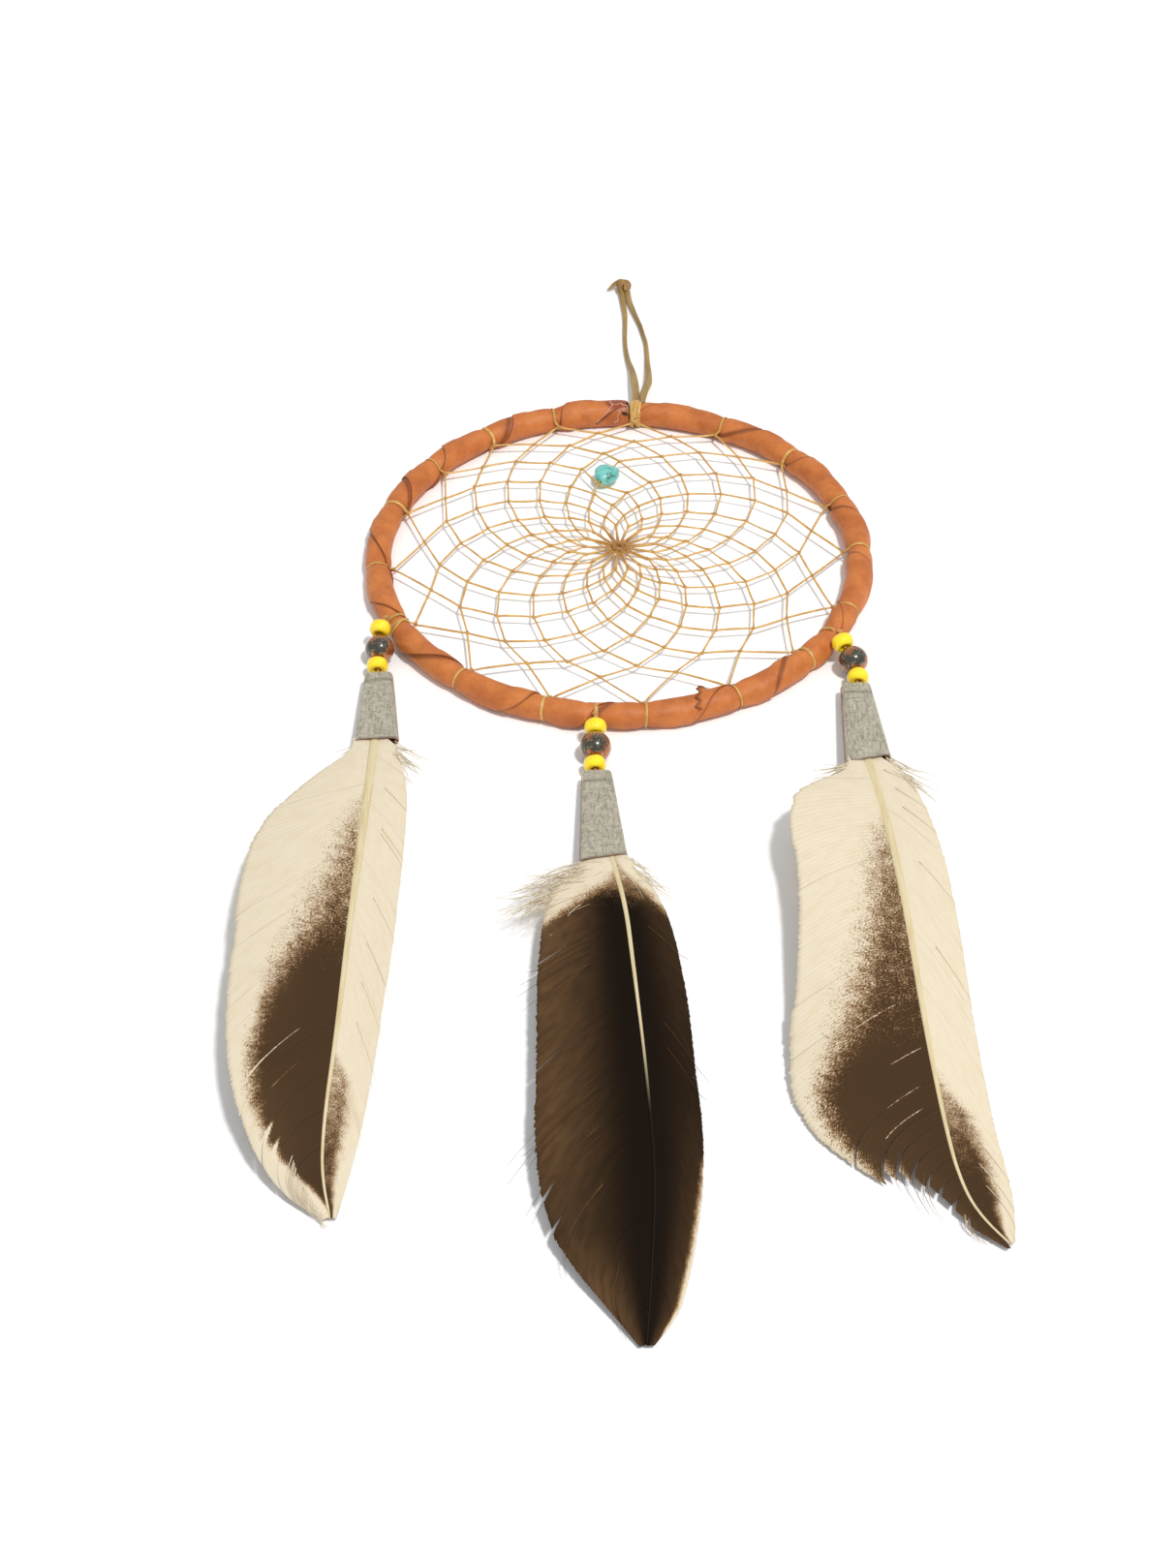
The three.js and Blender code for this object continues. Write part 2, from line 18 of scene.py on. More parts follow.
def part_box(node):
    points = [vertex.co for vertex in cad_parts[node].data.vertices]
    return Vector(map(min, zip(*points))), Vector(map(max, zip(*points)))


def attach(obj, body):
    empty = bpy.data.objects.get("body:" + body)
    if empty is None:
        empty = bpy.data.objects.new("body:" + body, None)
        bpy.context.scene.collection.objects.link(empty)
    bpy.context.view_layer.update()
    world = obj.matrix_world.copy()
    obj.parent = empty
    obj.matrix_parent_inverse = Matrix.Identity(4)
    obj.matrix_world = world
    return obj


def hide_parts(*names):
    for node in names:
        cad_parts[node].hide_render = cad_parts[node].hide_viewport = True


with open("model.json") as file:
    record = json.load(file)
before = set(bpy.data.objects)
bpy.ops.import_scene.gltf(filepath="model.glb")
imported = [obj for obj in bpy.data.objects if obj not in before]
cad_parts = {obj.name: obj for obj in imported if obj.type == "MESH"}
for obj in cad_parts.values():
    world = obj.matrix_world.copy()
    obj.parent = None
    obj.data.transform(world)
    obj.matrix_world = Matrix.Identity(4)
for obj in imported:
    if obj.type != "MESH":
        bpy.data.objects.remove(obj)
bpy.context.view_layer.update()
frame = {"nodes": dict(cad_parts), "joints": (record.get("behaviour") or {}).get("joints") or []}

MM = 0.001
LOG = logging.getLogger("dream_catcher")
HITCHES = 16  # of the web's sinew round the hoop; the lashing makes one turn more
UP = np.array([0.0, 0.0, 1.0])

Colour = tuple[float, float, float]
Socket = bpy.types.NodeSocket


class Slot(Enum):
    """The record's finishes."""

    CANE = "cane"
    LEATHER = "leather"
    SINEW = "sinew"
    YELLOW = "bead_yellow"
    DARK = "bead_dark"
    TURQUOISE = "turquoise"
    FOIL = "foil_leather"
    QUILL = "quill"
    CREAM = "feather_cream"
    BROWN = "feather_brown"


class Pendant(Enum):
    """The three pendants, by the names that their nodes and bodies start with."""

    LEFT = "left"
    MIDDLE = "middle"
    RIGHT = "right"


class Side(Enum):
    """The side of the quill that a vane is on, as a factor on +X."""

    LEFT = -1
    RIGHT = 1


# ---- Numbers and curves ----------------------------------------------------------------------------


def smoothstep(low: float, high: float, value: np.ndarray | float) -> np.ndarray:
    """A smooth 0 to 1 ramp.

    Args:
        low: where the ramp leaves 0.
        high: where it reaches 1.
        value: where to read it.

    Returns:
        The ramp's height at each value.
    """
    share = np.clip((np.asarray(value, float) - low) / (high - low), 0, 1)
    return share * share * (3 - 2 * share)


def noise_at(points: np.ndarray, size: float, seed: float) -> np.ndarray:
    """Smooth noise between about -1 and 1.

    Args:
        points: (n, 3) positions.
        size: distance between two bumps, in the points' unit.
        seed: moves the pattern.

    Returns:
        One number for each point.
    """
    shift = Vector((seed * 7.13, seed * 3.71, seed * 5.37))
    return np.array([noise.noise(Vector(p) / size + shift) for p in points])


def smooth_path(points: Any, per_span: int, closed: bool = False) -> np.ndarray:
    """A centripetal Catmull-Rom curve through points.

    Args:
        points: (n, 3) points that the curve goes through.
        per_span: how many points it gets between each two.
        closed: whether it returns to its start.

    Returns:
        (m, 3) points along the curve.
    """
    p = np.asarray(points, float)
    if closed:
        p = np.vstack([p[-1], p, p[0], p[1]])
    else:
        p = np.vstack([2 * p[0] - p[1], p, 2 * p[-1] - p[-2]])
    spans = []
    for a, b, c, d in zip(p[:-3], p[1:-2], p[2:-1], p[3:]):
        t1 = max(np.linalg.norm(b - a), 1e-9) ** 0.5
        t2 = t1 + max(np.linalg.norm(c - b), 1e-9) ** 0.5
        t3 = t2 + max(np.linalg.norm(d - c), 1e-9) ** 0.5
        t = np.linspace(t1, t2, per_span, endpoint=False)[:, None]
        ab = (t1 - t) / t1 * a + t / t1 * b
        bc = (t2 - t) / (t2 - t1) * b + (t - t1) / (t2 - t1) * c
        cd = (t3 - t) / (t3 - t2) * c + (t - t2) / (t3 - t2) * d
        abc = (t2 - t) / t2 * ab + t / t2 * bc
        bcd = (t3 - t) / (t3 - t1) * bc + (t - t1) / (t3 - t1) * cd
        spans.append((t2 - t) / (t2 - t1) * abc + (t - t1) / (t2 - t1) * bcd)
    if not closed:
        spans.append(p[-2:-1])
    return np.vstack(spans)


def unit(vector: np.ndarray) -> np.ndarray:
    """The vector at length 1."""
    return vector / max(float(np.linalg.norm(vector)), 1e-12)


def turning_frames(path: np.ndarray, closed: bool, start: np.ndarray) -> tuple[np.ndarray, np.ndarray]:
    """Two directions across a path that turn with it and never spin about it.

    Args:
        path: (n, 3) points.
        closed: whether the path returns to its start.
        start: a direction that the first one is kept close to.

    Returns:
        Two (n, 3) arrays of unit vectors.
    """
    if closed:
        along = np.roll(path, -1, 0) - np.roll(path, 1, 0)
    else:
        along = np.gradient(path, axis=0)
    along /= np.maximum(np.linalg.norm(along, axis=1), 1e-12)[:, None]
    across = np.empty_like(path)
    across[0] = unit(start - along[0] * start.dot(along[0]))
    for i in range(1, len(path)):
        carried = across[i - 1] - along[i] * across[i - 1].dot(along[i])
        across[i] = unit(carried)
    return across, np.cross(along, across)


def cad_vertices(node: str) -> np.ndarray:
    """The (n, 3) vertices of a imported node."""
    mesh = frame["nodes"][node].data
    points = np.empty(len(mesh.vertices) * 3)
    mesh.vertices.foreach_get("co", points)
    return points.reshape(-1, 3)


def middle_of(node: str) -> np.ndarray:
    """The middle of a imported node's box."""
    low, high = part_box(node)
    return np.array((low + high) / 2)


def joint_named(name: str) -> dict:
    """The record's joint of that name."""
    return next(j for j in frame["joints"] if j["name"] == name)


# ---- Meshes ----------------------------------------------------------------------------------------


class Draft:
    """Vertices, faces and vertex values gathered for one piece."""

    def __init__(self) -> None:
        """Starts empty."""
        self.points: list[np.ndarray] = []
        self.faces: list[list[int]] = []
        self.finishes: list[int] = []
        self.values: dict[str, list[np.ndarray]] = {}
        self.count = 0

    def add(self, points: np.ndarray, faces: list[list[int]], finish: int = 0, **values: Any) -> None:
        """Adds one closed shell.

        Args:
            points: (n, 3) vertices.
            faces: vertex numbers within points.
            finish: which of the piece's materials it wears.
            values: numbers or (n,) arrays, kept as vertex attributes.
        """
        for name, value in values.items():
            filled = np.broadcast_to(np.asarray(value, float), (len(points),))
            self.values.setdefault(name, [np.zeros(self.count)]).append(filled)
        for name, kept in self.values.items():
            if name not in values:
                kept.append(np.zeros(len(points)))
        self.points.append(points)
        self.faces += [[i + self.count for i in face] for face in faces]
        self.finishes += [finish] * len(faces)
        self.count += len(points)

    def rings(
        self, rings: np.ndarray, endless: bool = False, finish: int = 0, **values: Any
    ) -> None:
        """Adds a shell through rings of points, closed at its ends.

        Args:
            rings: (rows, columns, 3) points; each row is a closed ring.
            endless: whether the last ring joins the first.
            finish: which of the piece's materials it wears.
            values: numbers or (rows, columns) arrays, kept as vertex attributes.
        """
        rows, columns = rings.shape[:2]
        row, column = np.meshgrid(
            np.arange(rows if endless else rows - 1), np.arange(columns), indexing="ij"
        )
        next_row, next_column = (row + 1) % rows, (column + 1) % columns
        quads = np.stack(
            [
                row * columns + column,
                row * columns + next_column,
                next_row * columns + next_column,
                next_row * columns + column,
            ],
            -1,
        )
        faces = quads.reshape(-1, 4).tolist()
        if not endless:
            last = (rows - 1) * columns
            for i in range(columns // 2 - 1):
                j = columns - 1 - i
                faces.append([i, i + 1, j - 1, j])
                faces.append([last + j, last + j - 1, last + i + 1, last + i])
        flat = {
            name: np.broadcast_to(np.asarray(value, float), (rows, columns)).ravel()
            for name, value in values.items()
        }
        self.add(rings.reshape(-1, 3), faces, finish, **flat)

    def tube(
        self,
        path: np.ndarray,
        radius: Any,
        sides: int = 8,
        closed: bool = False,
        flatness: float = 1.0,
        start: np.ndarray = UP,
        finish: int = 0,
        **values: Any,
    ) -> None:
        """Adds a round or flattened tube along a path.

        Args:
            path: (n, 3) centre line.
            radius: one half-width or one for each point.
            sides: points in each ring.
            closed: whether the path returns to its start.
            flatness: the thickness as a share of the width.
            start: the direction that the tube is thin in at its start.
            finish: which of the piece's materials it wears.
            values: kept as vertex attributes.
        """
        thin, wide = turning_frames(path, closed, start)
        turn = np.linspace(0, 2 * math.pi, sides, endpoint=False) + math.pi / sides
        half = np.broadcast_to(np.asarray(radius, float), (len(path),))[:, None, None]
        rings = (
            path[:, None]
            + half * np.cos(turn)[None, :, None] * wide[:, None]
            + half * flatness * np.sin(turn)[None, :, None] * thin[:, None]
        )
        spread = {
            name: np.broadcast_to(np.asarray(value, float).reshape(-1, 1), (len(path), sides))
            for name, value in values.items()
        }
        self.rings(rings, closed, finish, **spread)

    def build(self, name: str, finishes: Sequence[bpy.types.Material]) -> bpy.types.Object:
        """Makes the piece.

        Args:
            name: the piece's name.
            finishes: its materials.

        Returns:
            The new object, smooth shaded, with its faces pointing out.
        """
        mesh = bpy.data.meshes.new(name)
        mesh.from_pydata(np.vstack(self.points).tolist(), [], self.faces)
        for value_name, parts in self.values.items():
            attribute = mesh.attributes.new(value_name, "FLOAT", "POINT")
            attribute.data.foreach_set("value", np.concatenate(parts).astype(np.float32))
        for finish in finishes:
            mesh.materials.append(finish)
        mesh.polygons.foreach_set("material_index", self.finishes)
        shape = bmesh.new()
        shape.from_mesh(mesh)
        bmesh.ops.recalc_face_normals(shape, faces=shape.faces)
        shape.to_mesh(mesh)
        shape.free()
        mesh.polygons.foreach_set("use_smooth", [True] * len(mesh.polygons))
        piece = bpy.data.objects.new(name, mesh)
        bpy.context.scene.collection.objects.link(piece)
        return piece


def install(piece: bpy.types.Object, body: str, slot: Slot, *nodes: str) -> bpy.types.Object:
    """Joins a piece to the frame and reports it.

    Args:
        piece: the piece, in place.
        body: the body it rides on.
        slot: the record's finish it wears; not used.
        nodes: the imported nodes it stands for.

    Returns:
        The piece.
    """
    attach(piece, body)
    if nodes:
        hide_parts(*nodes)
    LOG.info("%s: %d faces on %s", piece.name, len(piece.data.polygons), body)
    return piece


# ---- Shader graphs ---------------------------------------------------------------------------------


class Graph:
    """Short calls that add and join the nodes of one shader tree."""

    def __init__(self, tree: bpy.types.NodeTree) -> None:
        """Works on tree."""
        self.tree = tree

    def feed(self, socket: Socket, value: Any) -> None:
        """Links value to socket if it is a socket, and sets it otherwise."""
        if isinstance(value, bpy.types.NodeSocket):
            self.tree.links.new(value, socket)
        elif socket.type == "RGBA" and len(value) == 3:
            socket.default_value = (*value, 1.0)
        else:
            socket.default_value = value

    def add(self, kind: str, settings: dict | None = None, **inputs: Any) -> bpy.types.Node:
        """Adds a node.

        Args:
            kind: its type without the "ShaderNode" that all of them start with.
            settings: properties of the node.
            inputs: values or sockets for its inputs; _ in a name stands for a space, and i0, i1 and
                so on name an input by its number.

        Returns:
            The node.
        """
        node = self.tree.nodes.new("ShaderNode" + kind)
        for name, value in (settings or {}).items():
            setattr(node, name, value)
        for name, value in inputs.items():
            numbered = name[0] == "i" and name[1:].isdigit()
            key = int(name[1:]) if numbered else name.replace("_", " ")
            self.feed(node.inputs[key], value)
        return node

    def value(self, name: str) -> Socket:
        """A vertex value of the piece."""
        return self.add("Attribute", {"attribute_name": name}).outputs["Fac"]

    def math(self, operation: str, a: Any, b: Any = 0.0, limit: bool = False) -> Socket:
        """One arithmetic step on two numbers or sockets."""
        settings = {"operation": operation, "use_clamp": limit}
        return self.add("Math", settings, i0=a, i1=b).outputs[0]

    def ramp(self, value: Socket, low: float, high: float) -> Socket:
        """A smooth 0 to 1 ramp of value between low and high."""
        settings = {"interpolation_type": "SMOOTHSTEP"}
        node = self.add("MapRange", settings, Value=value, From_Min=low, From_Max=high)
        return node.outputs["Result"]

    def mix(self, share: Any, a: Any, b: Any, how: str = "MIX") -> Socket:
        """A colour between a and b, or a with b laid on it in another way."""
        node = self.add("Mix", {"data_type": "RGBA", "blend_type": how}, i0=share, i6=a, i7=b)
        return node.outputs[2]

    def place(self, stretch: tuple[float, float, float] = (1, 1, 1), spin: float = 0.0) -> Socket:
        """The piece's own coordinates, stretched, and turned about Z."""
        own = self.add("TexCoord").outputs["Object"]
        turned = self.add("Mapping", Vector=own, Rotation=(0, 0, spin)).outputs[0]
        return self.add("Mapping", Vector=turned, Scale=stretch).outputs[0]

    def noise(self, where: Socket, scale: float, detail: float = 4.0, rough: float = 0.55) -> Socket:
        """Noise between 0 and 1."""
        node = self.add("TexNoise", Vector=where, Scale=scale, Detail=detail, Roughness=rough)
        return node.outputs["Fac"]

    def group(self, tree: bpy.types.NodeTree, **inputs: Any) -> bpy.types.Node:
        """Places a shared effect, with its own values."""
        node = self.tree.nodes.new("ShaderNodeGroup")
        node.node_tree = tree
        for name, value in inputs.items():
            self.feed(node.inputs[name.replace("_", " ")], value)
        return node


def new_effect(name: str, inputs: dict[str, Any], outputs: dict[str, str]) -> Graph:
    """Starts a shared effect.

    Args:
        name: the effect's name.
        inputs: each input's name and its usual value, a number, a colour or a socket type.
        outputs: each output's name and socket type.

    Returns:
        The effect's graph, with its Group Input and Group Output nodes added.
    """
    tree = bpy.data.node_groups.new(name, "ShaderNodeTree")
    for label, usual in inputs.items():
        kind = "NodeSocketVector" if usual is None else "NodeSocketFloat"
        kind = "NodeSocketColor" if isinstance(usual, tuple) else kind
        socket = tree.interface.new_socket(label, in_out="INPUT", socket_type=kind)
        if isinstance(usual, tuple):
            socket.default_value = (*usual, 1.0)
        elif usual is not None:
            socket.default_value = usual
    for label, kind in outputs.items():
        tree.interface.new_socket(label, in_out="OUTPUT", socket_type=kind)
    tree.nodes.new("NodeGroupInput")
    tree.nodes.new("NodeGroupOutput")
    return Graph(tree)


def ends_of(graph: Graph) -> tuple[bpy.types.Node, bpy.types.Node]:
    """The Group Input and Group Output nodes of an effect."""
    nodes = graph.tree.nodes
    return nodes["Group Input"], nodes["Group Output"]


class Effects:
    """The shared effects, each built once."""

    def __init__(self) -> None:
        """Builds them all."""
        self.mottle = self._mottle()
        self.fibres = self._fibres()
        self.specks = self._specks()

    @staticmethod
    def _mottle() -> bpy.types.NodeTree:
        """Soft uneven patches between two colours."""
        graph = new_effect(
            "Mottle",
            {"Vector": None, "Colour A": (1, 1, 1), "Colour B": (0, 0, 0), "Scale": 100.0, "Bias": 0.5,
             "Softness": 0.15},
            {"Colour": "NodeSocketColor", "Mask": "NodeSocketFloat"},
        )
        given, out = ends_of(graph)
        cloud = graph.noise(given.outputs["Vector"], given.outputs["Scale"], 5.0, 0.6)
        low = graph.math("SUBTRACT", given.outputs["Bias"], given.outputs["Softness"])
        high = graph.math("ADD", given.outputs["Bias"], given.outputs["Softness"])
        settings = {"interpolation_type": "SMOOTHSTEP"}
        mask = graph.add("MapRange", settings, Value=cloud, From_Min=low, From_Max=high).outputs["Result"]
        colour = graph.mix(mask, given.outputs["Colour A"], given.outputs["Colour B"])
        graph.feed(out.inputs["Colour"], colour)
        graph.feed(out.inputs["Mask"], mask)
        return graph.tree

    @staticmethod
    def _fibres() -> bpy.types.NodeTree:
        """Fine grain of two sizes, as a height and as a shade about 1."""
        graph = new_effect(
            "Fibres",
            {"Vector": None, "Scale": 1000.0, "Coarse": 0.3, "Shade": 0.2},
            {"Height": "NodeSocketFloat", "Tint": "NodeSocketFloat"},
        )
        given, out = ends_of(graph)
        fine = graph.noise(given.outputs["Vector"], given.outputs["Scale"], 3.0, 0.6)
        wide_scale = graph.math("MULTIPLY", given.outputs["Scale"], given.outputs["Coarse"])
        wide = graph.noise(given.outputs["Vector"], wide_scale, 3.0, 0.6)
        height = graph.math("ADD", graph.math("MULTIPLY", fine, 0.4), graph.math("MULTIPLY", wide, 0.6))
        swing = graph.math("MULTIPLY", graph.math("SUBTRACT", height, 0.5), given.outputs["Shade"])
        graph.feed(out.inputs["Height"], height)
        graph.feed(out.inputs["Tint"], graph.math("ADD", swing, 1.0))
        return graph.tree

    @staticmethod
    def _specks() -> bpy.types.NodeTree:
        """Small separate spots, as a mask."""
        graph = new_effect(
            "Specks",
            {"Vector": None, "Scale": 500.0, "Amount": 0.5},
            {"Mask": "NodeSocketFloat"},
        )
        given, out = ends_of(graph)
        spots = graph.add(
            "TexVoronoi", Vector=given.outputs["Vector"], Scale=given.outputs["Scale"]
        ).outputs["Distance"]
        patches = graph.noise(given.outputs["Vector"], graph.math("MULTIPLY", given.outputs["Scale"], 0.3))
        reach = graph.math("MULTIPLY", patches, given.outputs["Amount"])
        edge = graph.math("SUBTRACT", reach, spots)
        graph.feed(out.inputs["Mask"], graph.ramp(edge, 0.0, 0.08))
        return graph.tree


# ---- Finishes --------------------------------------------------------------------------------------


def new_material(name: str, roughness: float, **constants: Any) -> tuple[Graph, bpy.types.Node]:
    """Starts a material.

    Args:
        name: its name.
        roughness: of its shader.
        constants: other shader sockets that are the same all over, _ for a space.

    Returns:
        Its graph and its Principled shader.
    """
    material = bpy.data.materials.new(name)
    material.use_nodes = True
    graph = Graph(material.node_tree)
    shader = material.node_tree.nodes["Principled BSDF"]
    shader.inputs["Roughness"].default_value = roughness
    for label, value in constants.items():
        graph.feed(shader.inputs[label.replace("_", " ")], value)
    return graph, shader


def material_of(graph: Graph) -> bpy.types.Material:
    """The material that a graph belongs to."""
    return next(m for m in bpy.data.materials if m.node_tree == graph.tree)


def bump(graph: Graph, shader: bpy.types.Node, height: Socket, depth: float) -> None:
    """Feeds the shader's normal from a height, depth metres from lowest to highest."""
    node = graph.add("Bump", Strength=1.0, Distance=depth, Height=height)
    graph.feed(shader.inputs["Normal"], node.outputs["Normal"])


@dataclass(frozen=True)
class CaneFinish:
    """The bent ring inside the wrap."""

    light: Colour = (0.48, 0.28, 0.12)
    dark: Colour = (0.3, 0.15, 0.05)

    def build(self, effects: Effects) -> bpy.types.Material:
        """Pale cane with long grain."""
        graph, shader = new_material("cane", 0.6)
        where = graph.place()
        tone = graph.group(effects.mottle, Vector=where, Colour_A=self.light, Colour_B=self.dark, Scale=400.0)
        grain = graph.group(effects.fibres, Vector=where, Scale=1500.0)
        graph.feed(shader.inputs["Base Color"], tone.outputs["Colour"])
        bump(graph, shader, grain.outputs["Height"], 0.1 * MM)
        return material_of(graph)


@dataclass(frozen=True)
class LeatherFinish:
    """Tan-orange split leather. Vertex values: edge, a raw cut edge; crease, painted shadow of the
    lapped edge beside it; glue, the stuck end; film, dried glue; char, a burnt spot."""

    light: Colour = (0.6, 0.19, 0.043)
    deep: Colour = (0.44, 0.117, 0.025)
    raw: Colour = (0.14, 0.035, 0.01)
    glued: Colour = (0.3, 0.062, 0.02)
    film: Colour = (0.75, 0.55, 0.42)
    burnt: Colour = (0.012, 0.008, 0.006)

    def build(self, effects: Effects) -> bpy.types.Material:
        """Uneven dye, fine cross wrinkles, darker cut edges, painted shadow beside each lapped edge and a
        glossy glued end.
        """
        graph, shader = new_material("leather", 0.5, Specular_IOR_Level=0.35)
        where = graph.place()
        tone = graph.group(
            effects.mottle, Vector=where, Colour_A=self.light, Colour_B=self.deep, Scale=130.0, Softness=0.22
        )
        fibres = graph.group(effects.fibres, Vector=where, Scale=2600.0, Coarse=0.25, Shade=0.5)
        tinted = graph.mix(1.0, tone.outputs["Colour"], fibres.outputs["Tint"], "MULTIPLY")
        spots = graph.group(effects.specks, Vector=where, Scale=420.0, Amount=0.35)
        spotted = graph.mix(
            graph.math("MULTIPLY", spots.outputs["Mask"], 0.35), tinted, self.deep
        )
        # painted shadow: the line beside each lapped edge takes the raw-edge colour
        lap_shadowed = graph.mix(graph.value("crease"), spotted, self.raw)
        edged = graph.mix(graph.value("edge"), lap_shadowed, self.raw)
        stuck = graph.mix(graph.value("glue"), edged, self.glued)
        filmed = graph.mix(graph.value("film"), stuck, self.film)
        graph.feed(shader.inputs["Base Color"], graph.mix(graph.value("char"), filmed, self.burnt))
        dull = graph.math("MULTIPLY_ADD", fibres.outputs["Height"], 0.3)
        dull.node.inputs[2].default_value = 0.36
        shine = graph.math("MULTIPLY", graph.value("glue"), 0.3)
        graph.feed(shader.inputs["Roughness"], graph.math("SUBTRACT", dull, shine, limit=True))
        wrinkle = graph.add(
            "TexNoise", Vector=where, Scale=900.0, Detail=4.0, Roughness=0.6, Distortion=0.6
        ).outputs["Fac"]
        pores = graph.group(effects.fibres, Vector=where, Scale=5200.0)
        height = graph.math("ADD", wrinkle, graph.math("MULTIPLY", pores.outputs["Height"], 0.5))
        bump(graph, shader, height, 0.12 * MM)
        return material_of(graph)


@dataclass(frozen=True)
class SinewFinish:
    """Waxed sinew. Vertex value: dark, where wax and handling have darkened it."""

    name: str
    light: Colour = (0.72, 0.43, 0.11)
    deep: Colour = (0.52, 0.27, 0.055)
    stained: Colour = (0.24, 0.065, 0.01)
    gloss: float = 0.36
    streaks: tuple[float, float, float] = (1, 1, 1)

    def build(self, effects: Effects) -> bpy.types.Material:
        """Golden waxy fibres, in uneven tones."""
        graph, shader = new_material(self.name, self.gloss, Specular_IOR_Level=0.6)
        where = graph.place(self.streaks)
        tone = graph.group(
            effects.mottle, Vector=where, Colour_A=self.light, Colour_B=self.deep, Scale=240.0, Softness=0.2
        )
        fibres = graph.group(effects.fibres, Vector=where, Scale=3000.0, Shade=0.7)
        tinted = graph.mix(1.0, tone.outputs["Colour"], fibres.outputs["Tint"], "MULTIPLY")
        graph.feed(shader.inputs["Base Color"], graph.mix(graph.value("dark"), tinted, self.stained))
        bump(graph, shader, fibres.outputs["Height"], 0.08 * MM)
        return material_of(graph)


@dataclass(frozen=True)
class YellowFinish:
    """Opaque yellow glass of the small beads."""

    light: Colour = (1.0, 0.76, 0.012)
    deep: Colour = (0.98, 0.6, 0.008)

    def build(self, effects: Effects) -> bpy.types.Material:
        """Glossy yellow with faint swirls."""
        graph, shader = new_material("bead_yellow", 0.12, Coat_Weight=0.5, Coat_Roughness=0.06)
        where = graph.place()
        tone = graph.group(
            effects.mottle, Vector=where, Colour_A=self.light, Colour_B=self.deep, Scale=300.0, Bias=0.56
        )
        waves = graph.noise(where, 500.0, 2.0)
        graph.feed(shader.inputs["Base Color"], tone.outputs["Colour"])
        graph.feed(shader.inputs["Roughness"], graph.math("MULTIPLY", waves, 0.28))
        bump(graph, shader, waves, 0.1 * MM)
        return material_of(graph)


@dataclass(frozen=True)
class DarkFinish:
    """Bronze-black glaze of the round beads, with coppery patches and pale flecks."""

    ground: Colour = (0.03, 0.026, 0.012)
    copper: Colour = (0.4, 0.12, 0.025)
    fleck: Colour = (0.5, 0.42, 0.26)

    def build(self, effects: Effects) -> bpy.types.Material:
        """Dark gloss broken by patches and flecks."""
        graph, shader = new_material("bead_dark", 0.16, Coat_Weight=0.8, Coat_Roughness=0.08)
        where = graph.place()
        patch = graph.group(
            effects.mottle, Vector=where, Colour_A=self.ground, Colour_B=self.copper, Scale=260.0, Bias=0.55,
            Softness=0.05
        )
        flecks = graph.group(effects.specks, Vector=where, Scale=1300.0, Amount=0.62)
        weak = graph.math("MULTIPLY", flecks.outputs["Mask"], 0.55)
        graph.feed(shader.inputs["Base Color"], graph.mix(weak, patch.outputs["Colour"], self.fleck))
        metal = graph.math("MULTIPLY", graph.math("MAXIMUM", patch.outputs["Mask"], weak), 0.7)
        graph.feed(shader.inputs["Metallic"], metal)
        pits = graph.noise(where, 900.0, 3.0)
        graph.feed(shader.inputs["Roughness"], graph.math("MULTIPLY", pits, 0.45))
        bump(graph, shader, pits, 0.08 * MM)
        return material_of(graph)


@dataclass(frozen=True)
class TurquoiseFinish:
    """The stone chip."""

    light: Colour = (0.2, 0.6, 0.53)
    deep: Colour = (0.1, 0.42, 0.37)
    vein: Colour = (0.045, 0.03, 0.018)

    def build(self, effects: Effects) -> bpy.types.Material:
        """Sea-green stone crossed by thin dark veins."""
        graph, shader = new_material("turquoise", 0.28, Coat_Weight=0.25, Coat_Roughness=0.12)
        where = graph.place()
        tone = graph.group(
            effects.mottle, Vector=where, Colour_A=self.light, Colour_B=self.deep, Scale=260.0, Softness=0.18
        )
        bend = graph.noise(where, 350.0, 3.0)
        shifted = graph.mix(0.012, where, graph.mix(1.0, where, bend, "ADD"))
        cells = graph.add(
            "TexVoronoi", {"feature": "DISTANCE_TO_EDGE"}, Vector=shifted, Scale=190.0
        ).outputs["Distance"]
        vein = graph.math("SUBTRACT", 1.0, graph.ramp(cells, 0.0, 0.045))
        gaps = graph.ramp(graph.noise(where, 240.0, 2.0), 0.46, 0.6)
        graph.feed(
            shader.inputs["Base Color"],
            graph.mix(graph.math("MULTIPLY", vein, gaps), tone.outputs["Colour"], self.vein),
        )
        bump(graph, shader, graph.math("MULTIPLY", graph.noise(where, 500.0), 1.0), 0.12 * MM)
        return material_of(graph)


